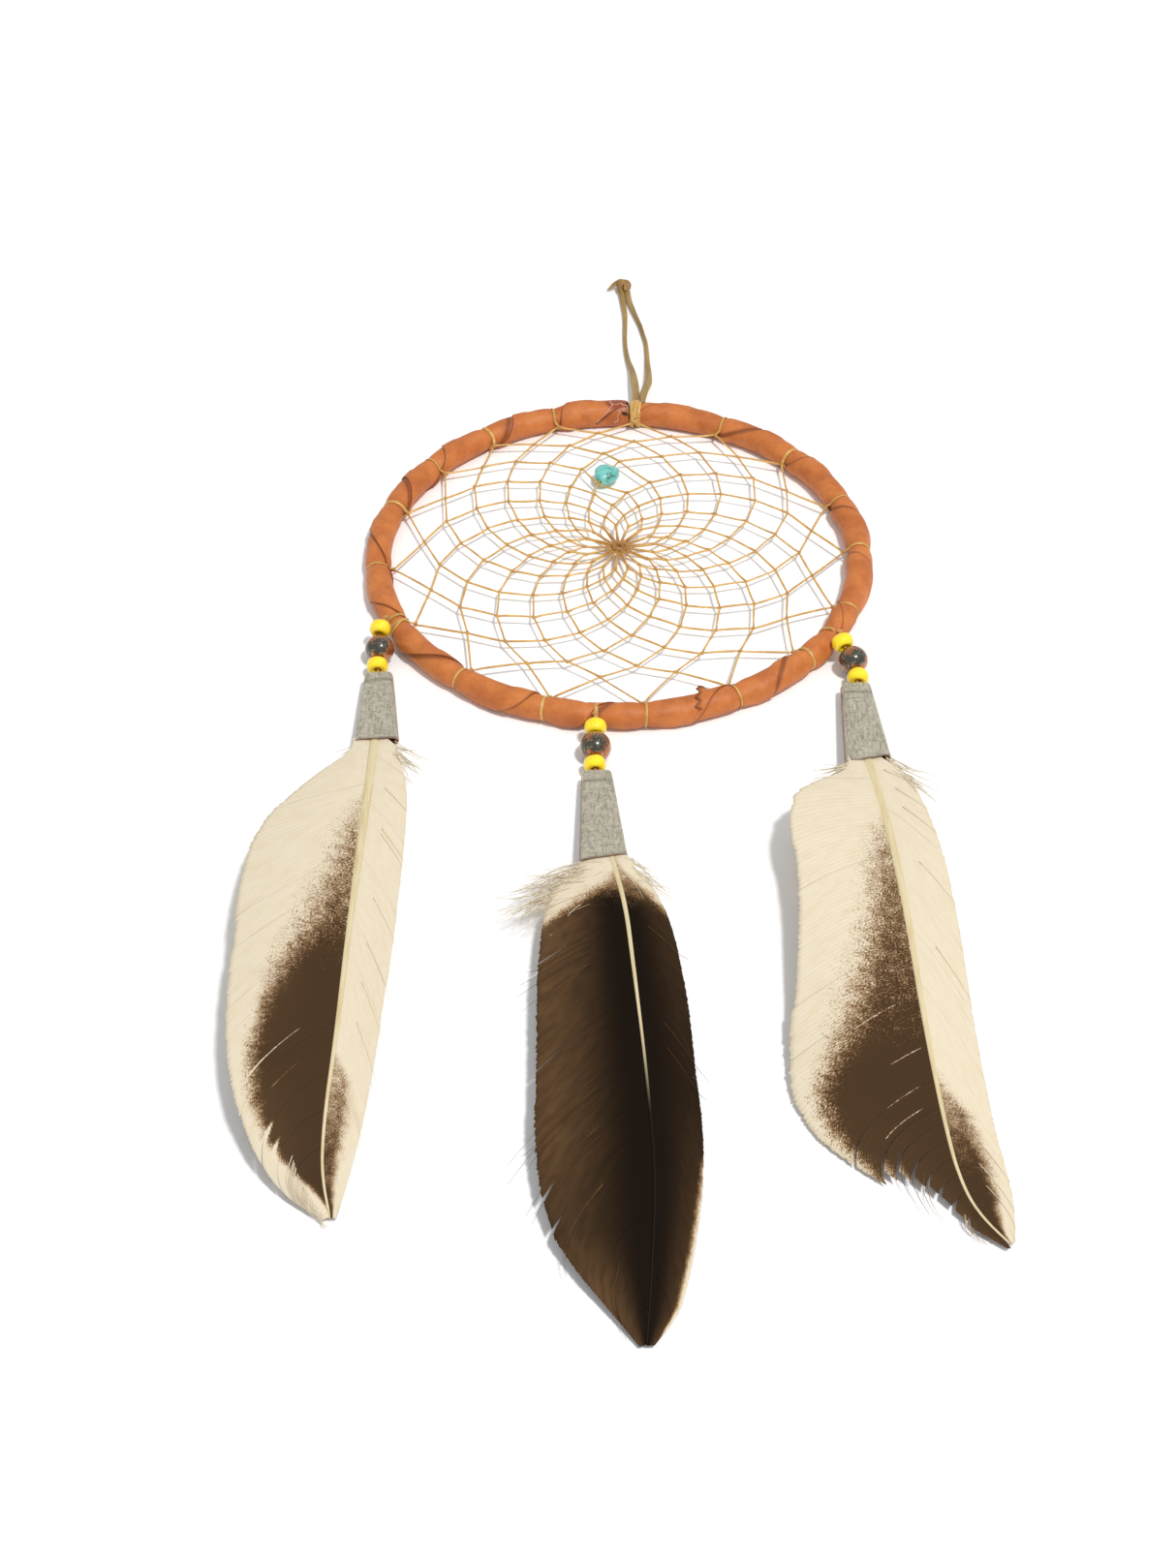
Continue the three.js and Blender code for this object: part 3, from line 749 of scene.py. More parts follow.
@dataclass(frozen=True)
class FoilFinish:
    """Leather faced with worn silver foil. Vertex values: cut, a raw edge; crease, painted shade in the
    pressed line, at the mouth's rim and in the drawn-in top; glaze, where glue has made it glossy."""

    silver: Colour = (0.46, 0.41, 0.31)
    bright: Colour = (0.6, 0.54, 0.42)
    # the colour of the wear marks and of the painted shade in the creases
    wear_and_shade: Colour = (0.09, 0.08, 0.065)
    raw: Colour = (0.28, 0.1, 0.04)

    def build(self, effects: Effects) -> bpy.types.Material:
        """Silver broken by dark specks, long streaks and short cross cracks, with painted shade in its
        creases.
        """
        graph, shader = new_material("foil_leather", 0.42, Specular_IOR_Level=0.6)
        where = graph.place()
        tone = graph.group(
            effects.mottle, Vector=where, Colour_A=self.silver, Colour_B=self.bright, Scale=700.0,
            Softness=0.25
        )
        along = graph.place((1.0, 0.1, 1.0))
        streaks = graph.group(
            effects.mottle, Vector=along, Colour_A=self.silver, Colour_B=self.wear_and_shade, Scale=2400.0, Bias=0.58,
            Softness=0.09
        )
        across = graph.place((0.14, 1.0, 0.5))
        cracks = graph.group(
            effects.mottle, Vector=across, Colour_A=self.silver, Colour_B=self.wear_and_shade, Scale=2100.0, Bias=0.61,
            Softness=0.05
        )
        specks = graph.group(effects.specks, Vector=where, Scale=2200.0, Amount=0.62)
        marks = graph.math("MAXIMUM", streaks.outputs["Mask"], cracks.outputs["Mask"])
        marks = graph.math("MAXIMUM", marks, specks.outputs["Mask"])
        faced = graph.mix(graph.math("MULTIPLY", marks, 0.62), tone.outputs["Colour"], self.wear_and_shade)
        # painted shade: the creases, the mouth's rim and the drawn-in top take the dark wear colour
        crease_shaded = graph.mix(graph.value("crease"), faced, self.wear_and_shade)
        graph.feed(shader.inputs["Base Color"], graph.mix(graph.value("cut"), crease_shaded, self.raw))
        whole = graph.math("SUBTRACT", 1.0, graph.math("MAXIMUM", marks, graph.value("cut")), limit=True)
        graph.feed(shader.inputs["Metallic"], graph.math("MULTIPLY", whole, 0.35))
        dull = graph.math("SUBTRACT", 0.75, graph.math("MULTIPLY", whole, 0.3))
        glazed = graph.math("MULTIPLY", graph.value("glaze"), 0.38)
        graph.feed(shader.inputs["Roughness"], graph.math("SUBTRACT", dull, glazed, limit=True))
        bump(graph, shader, graph.math("SUBTRACT", 1.0, marks), 0.08 * MM)
        return material_of(graph)


@dataclass(frozen=True)
class QuillFinish:
    """Horn of the quills. Vertex value: dark, where it turns black."""

    light: Colour = (0.65, 0.55, 0.34)
    deep: Colour = (0.56, 0.42, 0.21)
    black: Colour = (0.008, 0.005, 0.003)

    def build(self, effects: Effects) -> bpy.types.Material:
        """Waxy cream horn with long fine scratches."""
        graph, shader = new_material("quill", 0.55, Specular_IOR_Level=0.12)
        along = graph.place((1.0, 0.06, 1.0))
        tone = graph.group(
            effects.mottle, Vector=along, Colour_A=self.light, Colour_B=self.deep, Scale=1200.0, Bias=0.6,
            Softness=0.2
        )
        graph.feed(
            shader.inputs["Base Color"], graph.mix(graph.value("dark"), tone.outputs["Colour"], self.black)
        )
        grain = graph.group(effects.fibres, Vector=along, Scale=4000.0)
        bump(graph, shader, grain.outputs["Height"], 0.05 * MM)
        return material_of(graph)


@dataclass(frozen=True)
class VaneFinish:
    """Feather barbs. Vertex values: brown, how far inside a dark patch a point is; barb, its barb's
    number; reach, how far out along the barb it is; pale, where the dark patch is washed out."""

    name: str
    cream: Colour = (0.7, 0.605, 0.45)
    ivory: Colour = (0.68, 0.57, 0.4)
    brown: Colour = (0.055, 0.027, 0.0105)
    tan: Colour = (0.13, 0.075, 0.034)
    rust: Colour = (0.3, 0.17, 0.075)
    ragged: float = 1.3
    soft: float = 0.32
    shine: float = 0.1

    def build(self, effects: Effects) -> bpy.types.Material:
        """Cream barbs speckled with brown, each barb a little lighter or darker than its neighbours."""
        graph, shader = new_material(self.name, 0.7, Specular_IOR_Level=self.shine)
        where = graph.place()
        barb, reach = graph.value("barb"), graph.value("reach")
        lines = graph.add("CombineXYZ", X=graph.math("MULTIPLY", reach, 26.0), Y=barb, Z=0.0).outputs[0]
        speckle = graph.noise(lines, 1.9, 3.0, 0.65)
        cloud = graph.noise(where, 420.0, 3.0)
        depth = graph.value("brown")
        uneven = graph.math("ADD", speckle, graph.math("MULTIPLY", cloud, 0.3))
        uneven = graph.math("SUBTRACT", uneven, 0.65)
        edge = graph.math("ADD", depth, graph.math("MULTIPLY", uneven, self.ragged))
        mask = graph.ramp(edge, -0.05, self.soft * 0.5)
        streaky = graph.noise(lines, 0.22, 2.0)
        light = graph.mix(graph.ramp(streaky, 0.35, 0.75), self.cream, self.ivory)
        washed = graph.math("MULTIPLY", graph.value("pale"), graph.math("ADD", streaky, 0.35), limit=True)
        dark = graph.mix(washed, self.brown, self.tan)
        fringe = graph.mix(graph.ramp(edge, self.soft * 0.3, self.soft), self.rust, dark)
        colour = graph.mix(mask, light, fringe)
        lined = graph.add("TexWave", {"bands_direction": "Y"}, Vector=lines, Scale=0.16, Distortion=1.5)
        shade = graph.math("MULTIPLY_ADD", lined.outputs["Fac"], 0.06)
        shade.node.inputs[2].default_value = 0.96
        graph.feed(shader.inputs["Base Color"], graph.mix(1.0, colour, shade, "MULTIPLY"))
        bump(graph, shader, lined.outputs["Fac"], 0.02 * MM)
        return material_of(graph)


@dataclass
class Finishes:
    """All the object's materials."""

    effects: Effects = field(default_factory=Effects)

    def __post_init__(self) -> None:
        """Builds each of them once."""
        self.cane = CaneFinish().build(self.effects)
        self.leather = LeatherFinish().build(self.effects)
        self.sinew = SinewFinish("sinew").build(self.effects)
        self.lace = SinewFinish(
            "sinew_lace", (0.42, 0.26, 0.065), (0.19, 0.1, 0.018), streaks=(1, 0.1, 1)
        ).build(self.effects)
        self.yellow = YellowFinish().build(self.effects)
        self.dark = DarkFinish().build(self.effects)
        self.turquoise = TurquoiseFinish().build(self.effects)
        self.foil = FoilFinish().build(self.effects)
        self.quill = QuillFinish().build(self.effects)
        self.cream_vane = VaneFinish("feather_cream").build(self.effects)
        self.brown_vane = VaneFinish(
            "feather_brown", brown=(0.009, 0.005, 0.0025), tan=(0.125, 0.066, 0.029), soft=0.5, shine=0.04
        ).build(self.effects)


# ---- Studio ----------------------------------------------------------------------------------------


@dataclass
class Studio:
    """A pale floor, one soft lamp nearly overhead, fill from all round, and the camera."""

    camera_offset: tuple[float, float, float] = (-10.06, -506.76, 407.2)  # from the hoop's centre, mm
    pitch: float = 45.42  # degrees that the camera is raised from straight down
    roll: float = -0.919
    lens: float = 50.0
    lamp_offset: tuple[float, float, float] = (0.46, -0.62, 1.55)  # metres from the hoop's centre
    lamp_size: float = 0.2
    lamp_power: float = 20.0
    fill_colour: Colour = (0.93, 0.965, 1.0)
    fill_strength: float = 0.66
    floor_size: float = 6.0

    def camera(self, centre: np.ndarray) -> None:
        """Places the camera.

        Args:
            centre: the hoop's centre.
        """
        data = bpy.data.cameras.new("camera")
        data.lens = self.lens
        data.clip_start = 0.01
        camera = bpy.data.objects.new("camera", data)
        bpy.context.scene.collection.objects.link(camera)
        spot = Vector((centre[0], centre[1], 0.0))
        turn = Matrix.Rotation(math.radians(self.pitch), 4, "X") @ Matrix.Rotation(
            math.radians(self.roll), 4, "Z"
        )
        camera.matrix_world = Matrix.Translation(spot + Vector(self.camera_offset) * MM) @ turn
        bpy.context.scene.camera = camera

    def floor(self, centre: np.ndarray) -> None:
        """Lays the floor.

        Args:
            centre: the hoop's centre.
        """
        half = self.floor_size / 2
        mesh = bpy.data.meshes.new("floor")
        corners = [(centre[0] + half * x, centre[1] + half * y, 0.0) for x, y in
                   ((-1, -1), (1, -1), (1, 1), (-1, 1))]
        mesh.from_pydata(corners, [], [(0, 1, 2, 3)])
        graph, shader = new_material("floor", 0.9, Specular_IOR_Level=0.1)
        graph.feed(shader.inputs["Base Color"], (0.985, 0.965, 0.95))
        mesh.materials.append(material_of(graph))
        floor = bpy.data.objects.new("floor", mesh)
        bpy.context.scene.collection.objects.link(floor)

    def lights(self, centre: np.ndarray) -> None:
        """Hangs the lamp and sets the fill.

        Args:
            centre: the hoop's centre.
        """
        data = bpy.data.lights.new("lamp", "AREA")
        data.shape = "DISK"
        data.size = self.lamp_size
        data.energy = self.lamp_power
        lamp = bpy.data.objects.new("lamp", data)
        bpy.context.scene.collection.objects.link(lamp)
        lamp.location = Vector(centre) + Vector(self.lamp_offset)
        lamp.rotation_euler = Vector(self.lamp_offset).to_track_quat("Z", "Y").to_euler()
        world = bpy.data.worlds.new("studio")
        world.use_nodes = True
        background = world.node_tree.nodes["Background"]
        background.inputs["Color"].default_value = (*self.fill_colour, 1.0)
        background.inputs["Strength"].default_value = self.fill_strength
        bpy.context.scene.world = world
        bpy.context.scene.view_settings.view_transform = "Standard"


# ---- Hoop ------------------------------------------------------------------------------------------


@dataclass
class HoopLayout:
    """Where the hoop's tube and the sinew turns round it are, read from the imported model."""

    centre: np.ndarray = field(init=False)
    radius: float = field(init=False)
    height: float = field(init=False)
    turns: list[float] = field(init=False)
    ties: dict[Pendant, float] = field(init=False)

    def __post_init__(self) -> None:
        """Fits a circle to the turns' middles."""
        names = ["loop_lashing"] + [f"web_hitch_{i}" for i in range(1, HITCHES + 1)]
        spots = np.array([middle_of(name) for name in names])
        system = np.column_stack([2 * spots[:, :2], np.ones(len(spots))])
        x, y, rest = np.linalg.lstsq(system, (spots[:, :2] ** 2).sum(1), rcond=None)[0]
        self.height = float(spots[:, 2].mean())
        self.centre = np.array([x, y, self.height])
        self.radius = math.sqrt(rest + x * x + y * y)
        angles = np.degrees(np.arctan2(spots[:, 1] - y, spots[:, 0] - x)) % 360
        first = angles[0]
        self.turns = [float(first)] + sorted(float((a - first) % 360 + first) for a in angles[1:])
        self.ties = {}
        for pendant in Pendant:
            spot = middle_of(f"{pendant.value}_tie")
            self.ties[pendant] = math.degrees(math.atan2(spot[1] - y, spot[0] - x)) % 360

    def angle_at(self, count: np.ndarray | float) -> np.ndarray:
        """Degrees round the hoop at a number of turns, whole or not, from the lashing."""
        stops = self.turns + [self.turns[0] + 360]
        return np.interp(count, np.arange(len(stops)), stops)

    def count_at(self, degrees: float) -> float:
        """The number of turns from the lashing to an angle."""
        stops = self.turns + [self.turns[0] + 360]
        turned = (degrees - stops[0]) % 360 + stops[0]
        return float(np.interp(turned, stops, np.arange(len(stops))))

    def on_tube(self, degrees: Any, around: Any, radius: Any) -> np.ndarray:
        """Points on or about the tube.

        Args:
            degrees: angle round the hoop.
            around: angle round the tube in radians, 0 outwards and a quarter turn up.
            radius: distance from the tube's centre line.

        Returns:
            (..., 3) points.
        """
        degrees, around, radius = np.broadcast_arrays(
            np.asarray(degrees, float), np.asarray(around, float), np.asarray(radius, float)
        )
        turn = np.radians(degrees)
        out = self.radius + radius * np.cos(around)
        return np.stack(
            [
                self.centre[0] + out * np.cos(turn),
                self.centre[1] + out * np.sin(turn),
                self.centre[2] + radius * np.sin(around),
            ],
            -1,
        )


@dataclass
class LeatherWrap:
    """One strip wound round the hoop, each wind's edge lying on the next wind."""

    layout: HoopLayout
    thickness: float = 0.45  # mm
    overlap: float = 0.16  # of each wind, as a share of its width
    lip: float = 0.12  # the part of that width over which the edge rises
    pinched: float = 2.98  # outside radius where sinew squeezes it, mm
    full: float = 3.76  # outside radius between turns of sinew, mm
    flank: float = 8.0  # how abruptly it rises from a pinch
    tie_reach: float = 4.5  # how far a pendant's tie squeezes it, mm
    seam_share: float = 0.3  # where the seams lie between two turns of sinew
    first: float = 0.05  # where the wrap starts and ends, in turns of sinew from the lashing
    last: float = 16.95
    steps_per_wind: int = 60
    columns: int = 40
    doubled: float = 0.45  # extra radius beside the lashing, where the strip's end is stuck down, mm
    flap_at: float = 287.8  # degrees round the hoop where the torn flap starts
    glue_until: float = 0.36  # how far from the lashing the glued end reaches, in turns of sinew

    def base(self, count: np.ndarray) -> np.ndarray:
        """Outside radius without overlaps, in mm, at a number of turns from the lashing."""
        share = np.asarray(count, float) % 1.0
        radius = self.pinched + (self.full - self.pinched) * (1 - np.abs(2 * share - 1) ** self.flank)
        radius = radius + self.doubled * smoothstep(0.05, 0.2, count) * smoothstep(0.95, 0.8, count)
        spacing = math.radians(360 / (HITCHES + 1)) * self.layout.radius / MM
        for degrees in self.layout.ties.values():
            away = (count - self.layout.count_at(degrees)) * spacing
            radius = radius - (radius - self.pinched) * np.exp(-((away / self.tie_reach) ** 2))
        return radius

    def surface(self, count: np.ndarray, around: np.ndarray) -> np.ndarray:
        """Outside radius in metres, overlaps included, for what is wound over the leather."""
        across = (count - around / (2 * math.pi) - self.seam_share) % 1.0
        return (self.base(count) + self.thickness * smoothstep(1 - self.overlap, 1, across)) * MM

    def make(self, finishes: Finishes) -> bpy.types.Object:
        """Builds the wound strip, its torn flap and its glued end.

        Args:
            finishes: the object's materials.

        Returns:
            The piece.
        """
        draft = Draft()
        self._strip(draft)
        self._flap(draft)
        self._glued_end(draft)
        piece = draft.build("leather_strip", [finishes.leather])
        return install(piece, "hoop", Slot.LEATHER, "leather_wrap")

    @staticmethod
    def _wander(winds: np.ndarray) -> np.ndarray:
        """How far the seam of a wind strays along the hoop, in turns of sinew."""
        return 0.1 * np.sin(2.7 * winds + 1.3) + 0.07 * np.sin(7.3 * winds)

    def _strip(self, draft: Draft) -> None:
        """Adds the strip to draft."""
        width = 1 + self.overlap
        start = self.first - self.seam_share - width
        end = self.last - self.seam_share
        winds = np.linspace(start, end, int((end - start) * self.steps_per_wind))[:, None]
        low = np.clip(self.first - winds - self.seam_share, 0, width - 0.01)
        high = np.clip(self.last - winds - self.seam_share, low + 0.01, width)
        share = np.linspace(0, 1, self.columns)[None, :]
        share = np.concatenate([share, [[1.0]]], 1)
        across = low + (high - low) * share
        bent = (1 - across) * self._wander(winds) + across * self._wander(winds + 1)
        count = np.clip(winds + across + self.seam_share + bent, self.first, self.last)
        around = np.broadcast_to(2 * math.pi * winds, count.shape)
        lifted = smoothstep(1 - self.lip, 1.0, across)
        outside = self.base(count) + self.thickness * lifted
        raw = share > 1 - 0.5 / self.columns
        outside[:, -1] -= self.thickness * 0.45
        inside = outside[:, ::-4] - self.thickness
        inside[:, 0] = outside[:, -1] - self.thickness * 0.5
        inner_count = count[:, ::-4]
        inner_around = around[:, ::-4]
        degrees = self.layout.angle_at(np.concatenate([count, inner_count], 1))
        turn = np.concatenate([around, inner_around], 1)
        radius = np.concatenate([outside, inside], 1)
        flat = self.layout.on_tube(degrees, turn, radius * MM)
        shape = flat.shape[:2]
        points = flat.reshape(-1, 3)
        lumps = 0.16 * noise_at(points, 7.5 * MM, 1.0) + 0.07 * noise_at(points, 2.4 * MM, 2.0)
        unrolled = np.column_stack([degrees.ravel() * 1.8, turn.ravel(), turn.ravel() * 0])
        creases = 0.05 * noise_at(unrolled, 1.0, 3.0)
        radius = radius + (lumps + creases).reshape(shape)
        rings = self.layout.on_tube(degrees, turn, radius * MM)
        rings[..., 2] = np.maximum(rings[..., 2], 0.02 * MM)
        edge = np.zeros(shape)
        edge[:, : self.columns + 1] = raw
        edge[:, self.columns - 1] = 0.55
        # tucked is painted shadow: a thin dark line where the next wind's edge lies over this one
        tucked = np.zeros(shape)
        tucked[:, : self.columns + 1] = np.exp(-(((across - self.overlap) / 0.03) ** 2)) * 0.9
        counted = np.concatenate([count, inner_count], 1)
        rolled = turn % (2 * math.pi)
        stuck_until = self.glue_until + 0.03 * np.sin(5 * turn) + 0.05 * smoothstep(2.4, 3.4, rolled)
        upper = 0.35 + 0.65 * smoothstep(2.5, 2.0, rolled)
        glue = smoothstep(0.03, -0.03, counted - stuck_until) * upper
        draft.rings(rings, edge=edge, crease=np.clip(tucked, 0, 1), glue=glue)

    def _trail(self, spots: tuple, lift: float) -> np.ndarray:
        """A smooth path on the leather.

        Args:
            spots: (turns of sinew from the lashing, degrees round the tube).
            lift: height over the leather, mm.

        Returns:
            (n, 3) points.
        """
        count, around = np.array(spots, float).T
        around = np.radians(around)
        radius = self.surface(count, around) + lift * MM
        return smooth_path(self.layout.on_tube(self.layout.angle_at(count), around, radius), 6)

    def _glued_end(self, draft: Draft) -> None:
        """Adds the raw end of the strip, the ridges of dried glue and the burnt spot to draft."""
        random = np.random.default_rng(5)
        end = self._trail(((0.2, 116), (0.27, 132), (0.36, 152), (0.44, 172), (0.5, 192)), 0.05)
        width = np.interp(np.linspace(0, 1, len(end)), [0, 0.6, 1], [0.25, 0.55, 0.3]) * MM
        draft.tube(end, width, 8, flatness=0.35, edge=0.85)
        ridges = (
            ((0.32, 78), (0.31, 95), (0.29, 110), (0.33, 124), (0.35, 138), (0.4, 152), (0.44, 166),
             (0.5, 184)),
            ((0.3, 100), (0.24, 106), (0.19, 98), (0.15, 108), (0.1, 103)),
            ((0.22, 122), (0.2, 140), (0.23, 158), (0.22, 176), (0.27, 190)),
            ((0.17, 118), (0.13, 124), (0.1, 116)),
        )
        for ridge in ridges:
            path = self._trail(ridge, 0.06)
            size = (0.13 + 0.07 * random.standard_normal(len(path)).clip(-1, 1)) * MM
            draft.tube(path, size, 6, flatness=0.6, glue=0.6, film=0.8)
        spot = self._trail(((0.17, 141), (0.135, 145), (0.1, 149)), 0.02)
        blot = np.array([0.3, 0.8, 0.95, 1, 0.95, 1, 1, 0.9, 1, 0.95, 0.8, 0.6, 0.3]) * 0.85 * MM
        draft.tube(spot, blot, 12, flatness=0.35, char=1.0)

    def _flap(self, draft: Draft) -> None:
        """Adds the small torn flap to draft."""
        rows, columns = 14, 9
        torn = np.array([0.2, 0.9, 0.5, 1.0, 0.55, 0.95, 0.35, 0.75, 0.1])
        along = np.linspace(0, 1, rows)[:, None]
        over = np.linspace(0, 1, columns)[None, :]
        around = math.pi * (0.18 + 0.72 * over) + 0 * along
        length = np.interp(over, np.linspace(0, 1, len(torn)), 1.6 + 2.6 * torn)
        angle = self.flap_at - np.degrees(along * length / (self.layout.radius / MM)) + 3.4 * over
        curl = 1.5 * along**1.6 * (0.35 + over)
        top = self.layout.on_tube(angle, around, (4.0 + curl) * MM)
        bottom = self.layout.on_tube(angle, around, (4.0 + curl - 0.3) * MM)
        rings = np.concatenate([top, bottom[:, ::-1]], 1)
        rings[..., 2] = np.maximum(rings[..., 2], 0.02 * MM)
        torn_edge = np.concatenate([along + 0 * over, (along + 0 * over)[:, ::-1]], 1)
        draft.rings(rings, edge=smoothstep(0.5, 1.0, torn_edge) * 0.8)


@dataclass
class Core:
    """The bent cane ring inside the wrap."""

    layout: HoopLayout
    radius: float = 2.35  # mm

    def make(self, finishes: Finishes) -> bpy.types.Object:
        """Builds the ring, a little uneven as a bent shoot is.

        Args:
            finishes: the object's materials.

        Returns:
            The piece.
        """
        degrees = np.linspace(0, 360, 240, endpoint=False)
        path = self.layout.on_tube(degrees, 0.0, 0.0)
        swell = self.radius * MM * (1 - 0.03 * np.abs(np.sin(np.radians(degrees) * 2.5)))
        draft = Draft()
        draft.tube(path, swell, 16, closed=True)
        piece = draft.build("cane_ring", [finishes.cane])
        return install(piece, "hoop", Slot.CANE, "hoop_core")


# ---- Web -------------------------------------------------------------------------------------------


@dataclass
class Web:
    """Sinew knotted round by round, from the hoop to the coil at the middle."""

    layout: HoopLayout
    wrap: LeatherWrap
    middle: tuple[float, float] = (0.2, 2.6)  # of the web, mm from the hoop's centre
    rim: float = 66.4
    rounds: tuple[float, ...] = (58, 53.3, 47, 40.3, 33.2, 26.8, 20.5, 15.2, 10.5)  # mm from middle
    chip_knots: tuple = ((4, (1.3, 45.1)), (5, (-5.8, 33.8)))  # a round, and where the chip drags a knot
    strand: float = 0.3  # mm
    coil_hole: float = 0.85
    coil_rings: int = 5

    def knots(self) -> list[np.ndarray]:
        """(17, 2) knots of each round in mm, the first at the hoop."""
        turn = np.radians(self.layout.turns)
        found = [self.rim * np.stack([np.cos(turn), np.sin(turn)], -1)]
        middle = np.array(self.middle)
        for radius in self.rounds:
            spokes = found[-1] - middle
            spokes /= np.linalg.norm(spokes, axis=1)[:, None]
            between = spokes + np.roll(spokes, -1, 0)
            between /= np.linalg.norm(between, axis=1)[:, None]
            found.append(middle + radius * between)
        for row, target in self.chip_knots:
            nearest = np.argmin(np.linalg.norm(found[row] - target, axis=1))
            found[row][nearest] = target
        return found

    def lift(self, flat: np.ndarray, height: Any) -> np.ndarray:
        """Points of the web's plane in metres, raised by height in mm."""
        raised = np.broadcast_to(np.asarray(height, float), flat.shape[:-1])
        return self.layout.centre + np.concatenate([flat, raised[..., None]], -1) * MM

    def _knot(self, spot: np.ndarray, outward: np.ndarray, size: float) -> list[np.ndarray]:
        """Points of the small loop that a strand makes round the strand outside it.

        Args:
            spot: the knot's place, mm.
            outward: the direction away from the web's middle.
            size: how far the loop reaches, mm.

        Returns:
            Points from where the strand arrives to where it leaves.
        """
        side = np.array([-outward[1], outward[0]])
        plan = [(-0.9, -0.55, 0.1), (-0.35, 0.5, 0.75), (0.45, 0.75, -0.3), (0.3, -0.2, -0.75),
                (-0.35, -0.35, 0.15), (0.3, -0.75, 0.55), (0.95, -0.5, 0.1)]
        return [np.append(spot + size * (a * side + b * outward), size * c) for a, b, c in plan]

    def make(self, finishes: Finishes) -> bpy.types.Object:
        """Builds the net and its coil.

        Args:
            finishes: the object's materials.

        Returns:
            The piece.
        """
        found = self.knots()
        count = len(found[0])
        middle = np.array(self.middle)
        draft = Draft()
        for row, spots in enumerate(found):
            points: list[np.ndarray] = []
            for i in range(count):
                outward = unit(spots[i] - middle)
                size = 0.36 if row < 8 else 0.3
                points += self._knot(spots[i], outward, size)
                following = spots[(i + 1) % count]
                if row + 1 < len(found):
                    bend = found[row + 1][i]
                else:
                    bend = middle + unit(following + spots[i] - 2 * middle) * 1.7
                raised = 0.15 if i % 2 else -0.15
                for start, end, share in (
                    (spots[i], bend, 0.2), (spots[i], bend, 0.93), (bend, bend, 0.0), (bend, following, 0.07),
                    (bend, following, 0.8),
                ):
                    points.append(np.append(start + (end - start) * share, raised * (0.05 < share < 0.95)))
            path = smooth_path(points, 3, closed=True)
            radius = self.strand * MM * (1 + 0.12 * np.sin(np.arange(len(path)) * 0.9 + row))
            near = np.linalg.norm(path[:, :2] - middle, axis=1)
            tight = smoothstep(8.0, 2.0, near) * 0.55
            knotted = (np.arange(len(path)) // 3 % 12 < 7) * 0.3
            draft.tube(
                self.lift(path[:, :2], path[:, 2]), radius, 6, closed=True,
                dark=np.clip(np.maximum(tight, knotted), 0, 1),
            )
        self._coil(draft, middle)
        piece = draft.build("web_sinew", [finishes.sinew])
        return install(piece, "hoop", Slot.SINEW, "web_net")

    def _coil(self, draft: Draft, middle: np.ndarray) -> None:
        """Adds the wound eye at the web's middle to draft."""
        turn = np.linspace(0, 2 * math.pi * self.coil_rings, 44 * self.coil_rings)
        share = turn / turn[-1]
        reach = self.coil_hole + 0.3 + 0.75 * share + 0.12 * np.sin(3.3 * turn)
        height = 0.75 * np.sin(2 * math.pi * share * 2.5) + 0.12 * np.sin(4.7 * turn)
        flat = middle + np.stack([reach * np.cos(turn), reach * np.sin(turn)], -1)
        draft.tube(self.lift(flat, height), 0.34 * MM, 8, dark=0.75)
        loops = 13
        for i in range(loops):
            lean = 2 * math.pi * i / loops
            across = np.linspace(0, 2 * math.pi, 18, endpoint=False)
            reach = self.coil_hole + 0.75 + 0.75 * np.cos(across)
            turn = lean + 0.35 * np.sin(across)
            flat = middle + np.stack([reach * np.cos(turn), reach * np.sin(turn)], -1)
            draft.tube(self.lift(flat, 0.72 * np.sin(across)), 0.22 * MM, 6, closed=True, dark=0.65)


